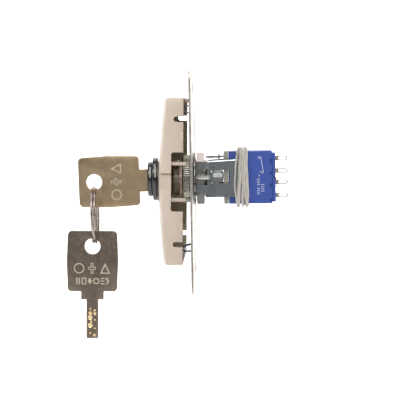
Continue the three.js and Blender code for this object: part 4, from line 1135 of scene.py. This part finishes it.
# ------------------------------------------------------------------ studio
def stage_plane(name, size, co, rot, col, rough=0.9, glow=0.0):
    me = bpy.data.meshes.new(name)
    h = size / 2
    me.from_pydata([(-h, -h, 0), (h, -h, 0), (h, h, 0), (-h, h, 0)], [], [(0, 1, 2, 3)])
    o = new_obj(name, me)
    o.location = co
    o.rotation_euler = rot
    m = bpy.data.materials.new(name + "_mat")
    m.use_nodes = True
    b = m.node_tree.nodes["Principled BSDF"]
    b.inputs["Base Color"].default_value = col
    b.inputs["Roughness"].default_value = rough
    if glow:
        b.inputs["Emission Color"].default_value = (1, 1, 1, 1)
        b.inputs["Emission Strength"].default_value = glow
    me.materials.append(m)
    return o


stage_plane("floor", 20.0, (0, 0, -0.30), (0, 0, 0), (0.88, 0.88, 0.88, 1), glow=0.25)
stage_plane("backdrop", 6.0, (-1.2, 0, 0), (0, math.radians(90), 0), (0.95, 0.95, 0.95, 1), glow=1.1)

w = bpy.data.worlds.new("studio")
sc.world = w
w.use_nodes = True
bg = w.node_tree.nodes["Background"]
bg.inputs["Color"].default_value = (0.97, 0.98, 1.0, 1)
bg.inputs["Strength"].default_value = 0.22


def area(name, loc, target, size, size_y, power, col=(1, 1, 1)):
    d = bpy.data.lights.new(name, "AREA")
    d.shape = "RECTANGLE"
    d.size, d.size_y = size, size_y
    d.energy = power
    d.color = col
    o = bpy.data.objects.new(name, d)
    sc.collection.objects.link(o)
    o.location = loc
    v = Vector(target) - Vector(loc)
    o.rotation_euler = v.to_track_quat("-Z", "Y").to_euler()
    return o


area("key_light", (0.55, -0.25, 0.6), (0, 0, 0), 0.35, 0.3, 1.5)
area("front_strip", (0.67, 0.03, 0.58), (0, 0, 0), 0.17, 0.98, 2.7)
area("top_soft", (0.12, 0.05, 0.8), (0, 0, 0), 0.35, 0.35, 1.1)
area("left_soft", (0.15, -0.8, 0.1), (0, 0, 0), 0.5, 0.6, 1.3)
area("back_soft", (-0.7, 0.5, 0.5), (0, 0, 0), 0.6, 0.6, 2.2)
area("right_soft", (0.1, 0.8, 0.25), (0, 0, 0), 0.5, 0.6, 1.3)

# camera
az, el, roll = math.radians(91.0), math.radians(3.1), math.radians(0.9)
d = Vector((-math.sin(az) * math.cos(el), math.cos(az) * math.cos(el), -math.sin(el)))
right = Vector((math.cos(az), math.sin(az), 0))
up = right.cross(d)
r2 = right * math.cos(roll) - up * math.sin(roll)
u2 = up * math.cos(roll) + right * math.sin(roll)
aim = Vector((0, 1.84 * MM, -7.27 * MM))
loc = aim - d * (0.575 / abs(d.x))
cam = bpy.data.cameras.new("camera")
cam.sensor_width = 36
cam.sensor_fit = "HORIZONTAL"
cam.lens = 1713 / 400 * 36
cam.clip_start = 0.01
co = bpy.data.objects.new("camera", cam)
sc.collection.objects.link(co)
co.matrix_world = Matrix(((r2.x, u2.x, -d.x, loc.x), (r2.y, u2.y, -d.y, loc.y), (r2.z, u2.z, -d.z, loc.z), (0, 0, 0, 1)))
sc.camera = co

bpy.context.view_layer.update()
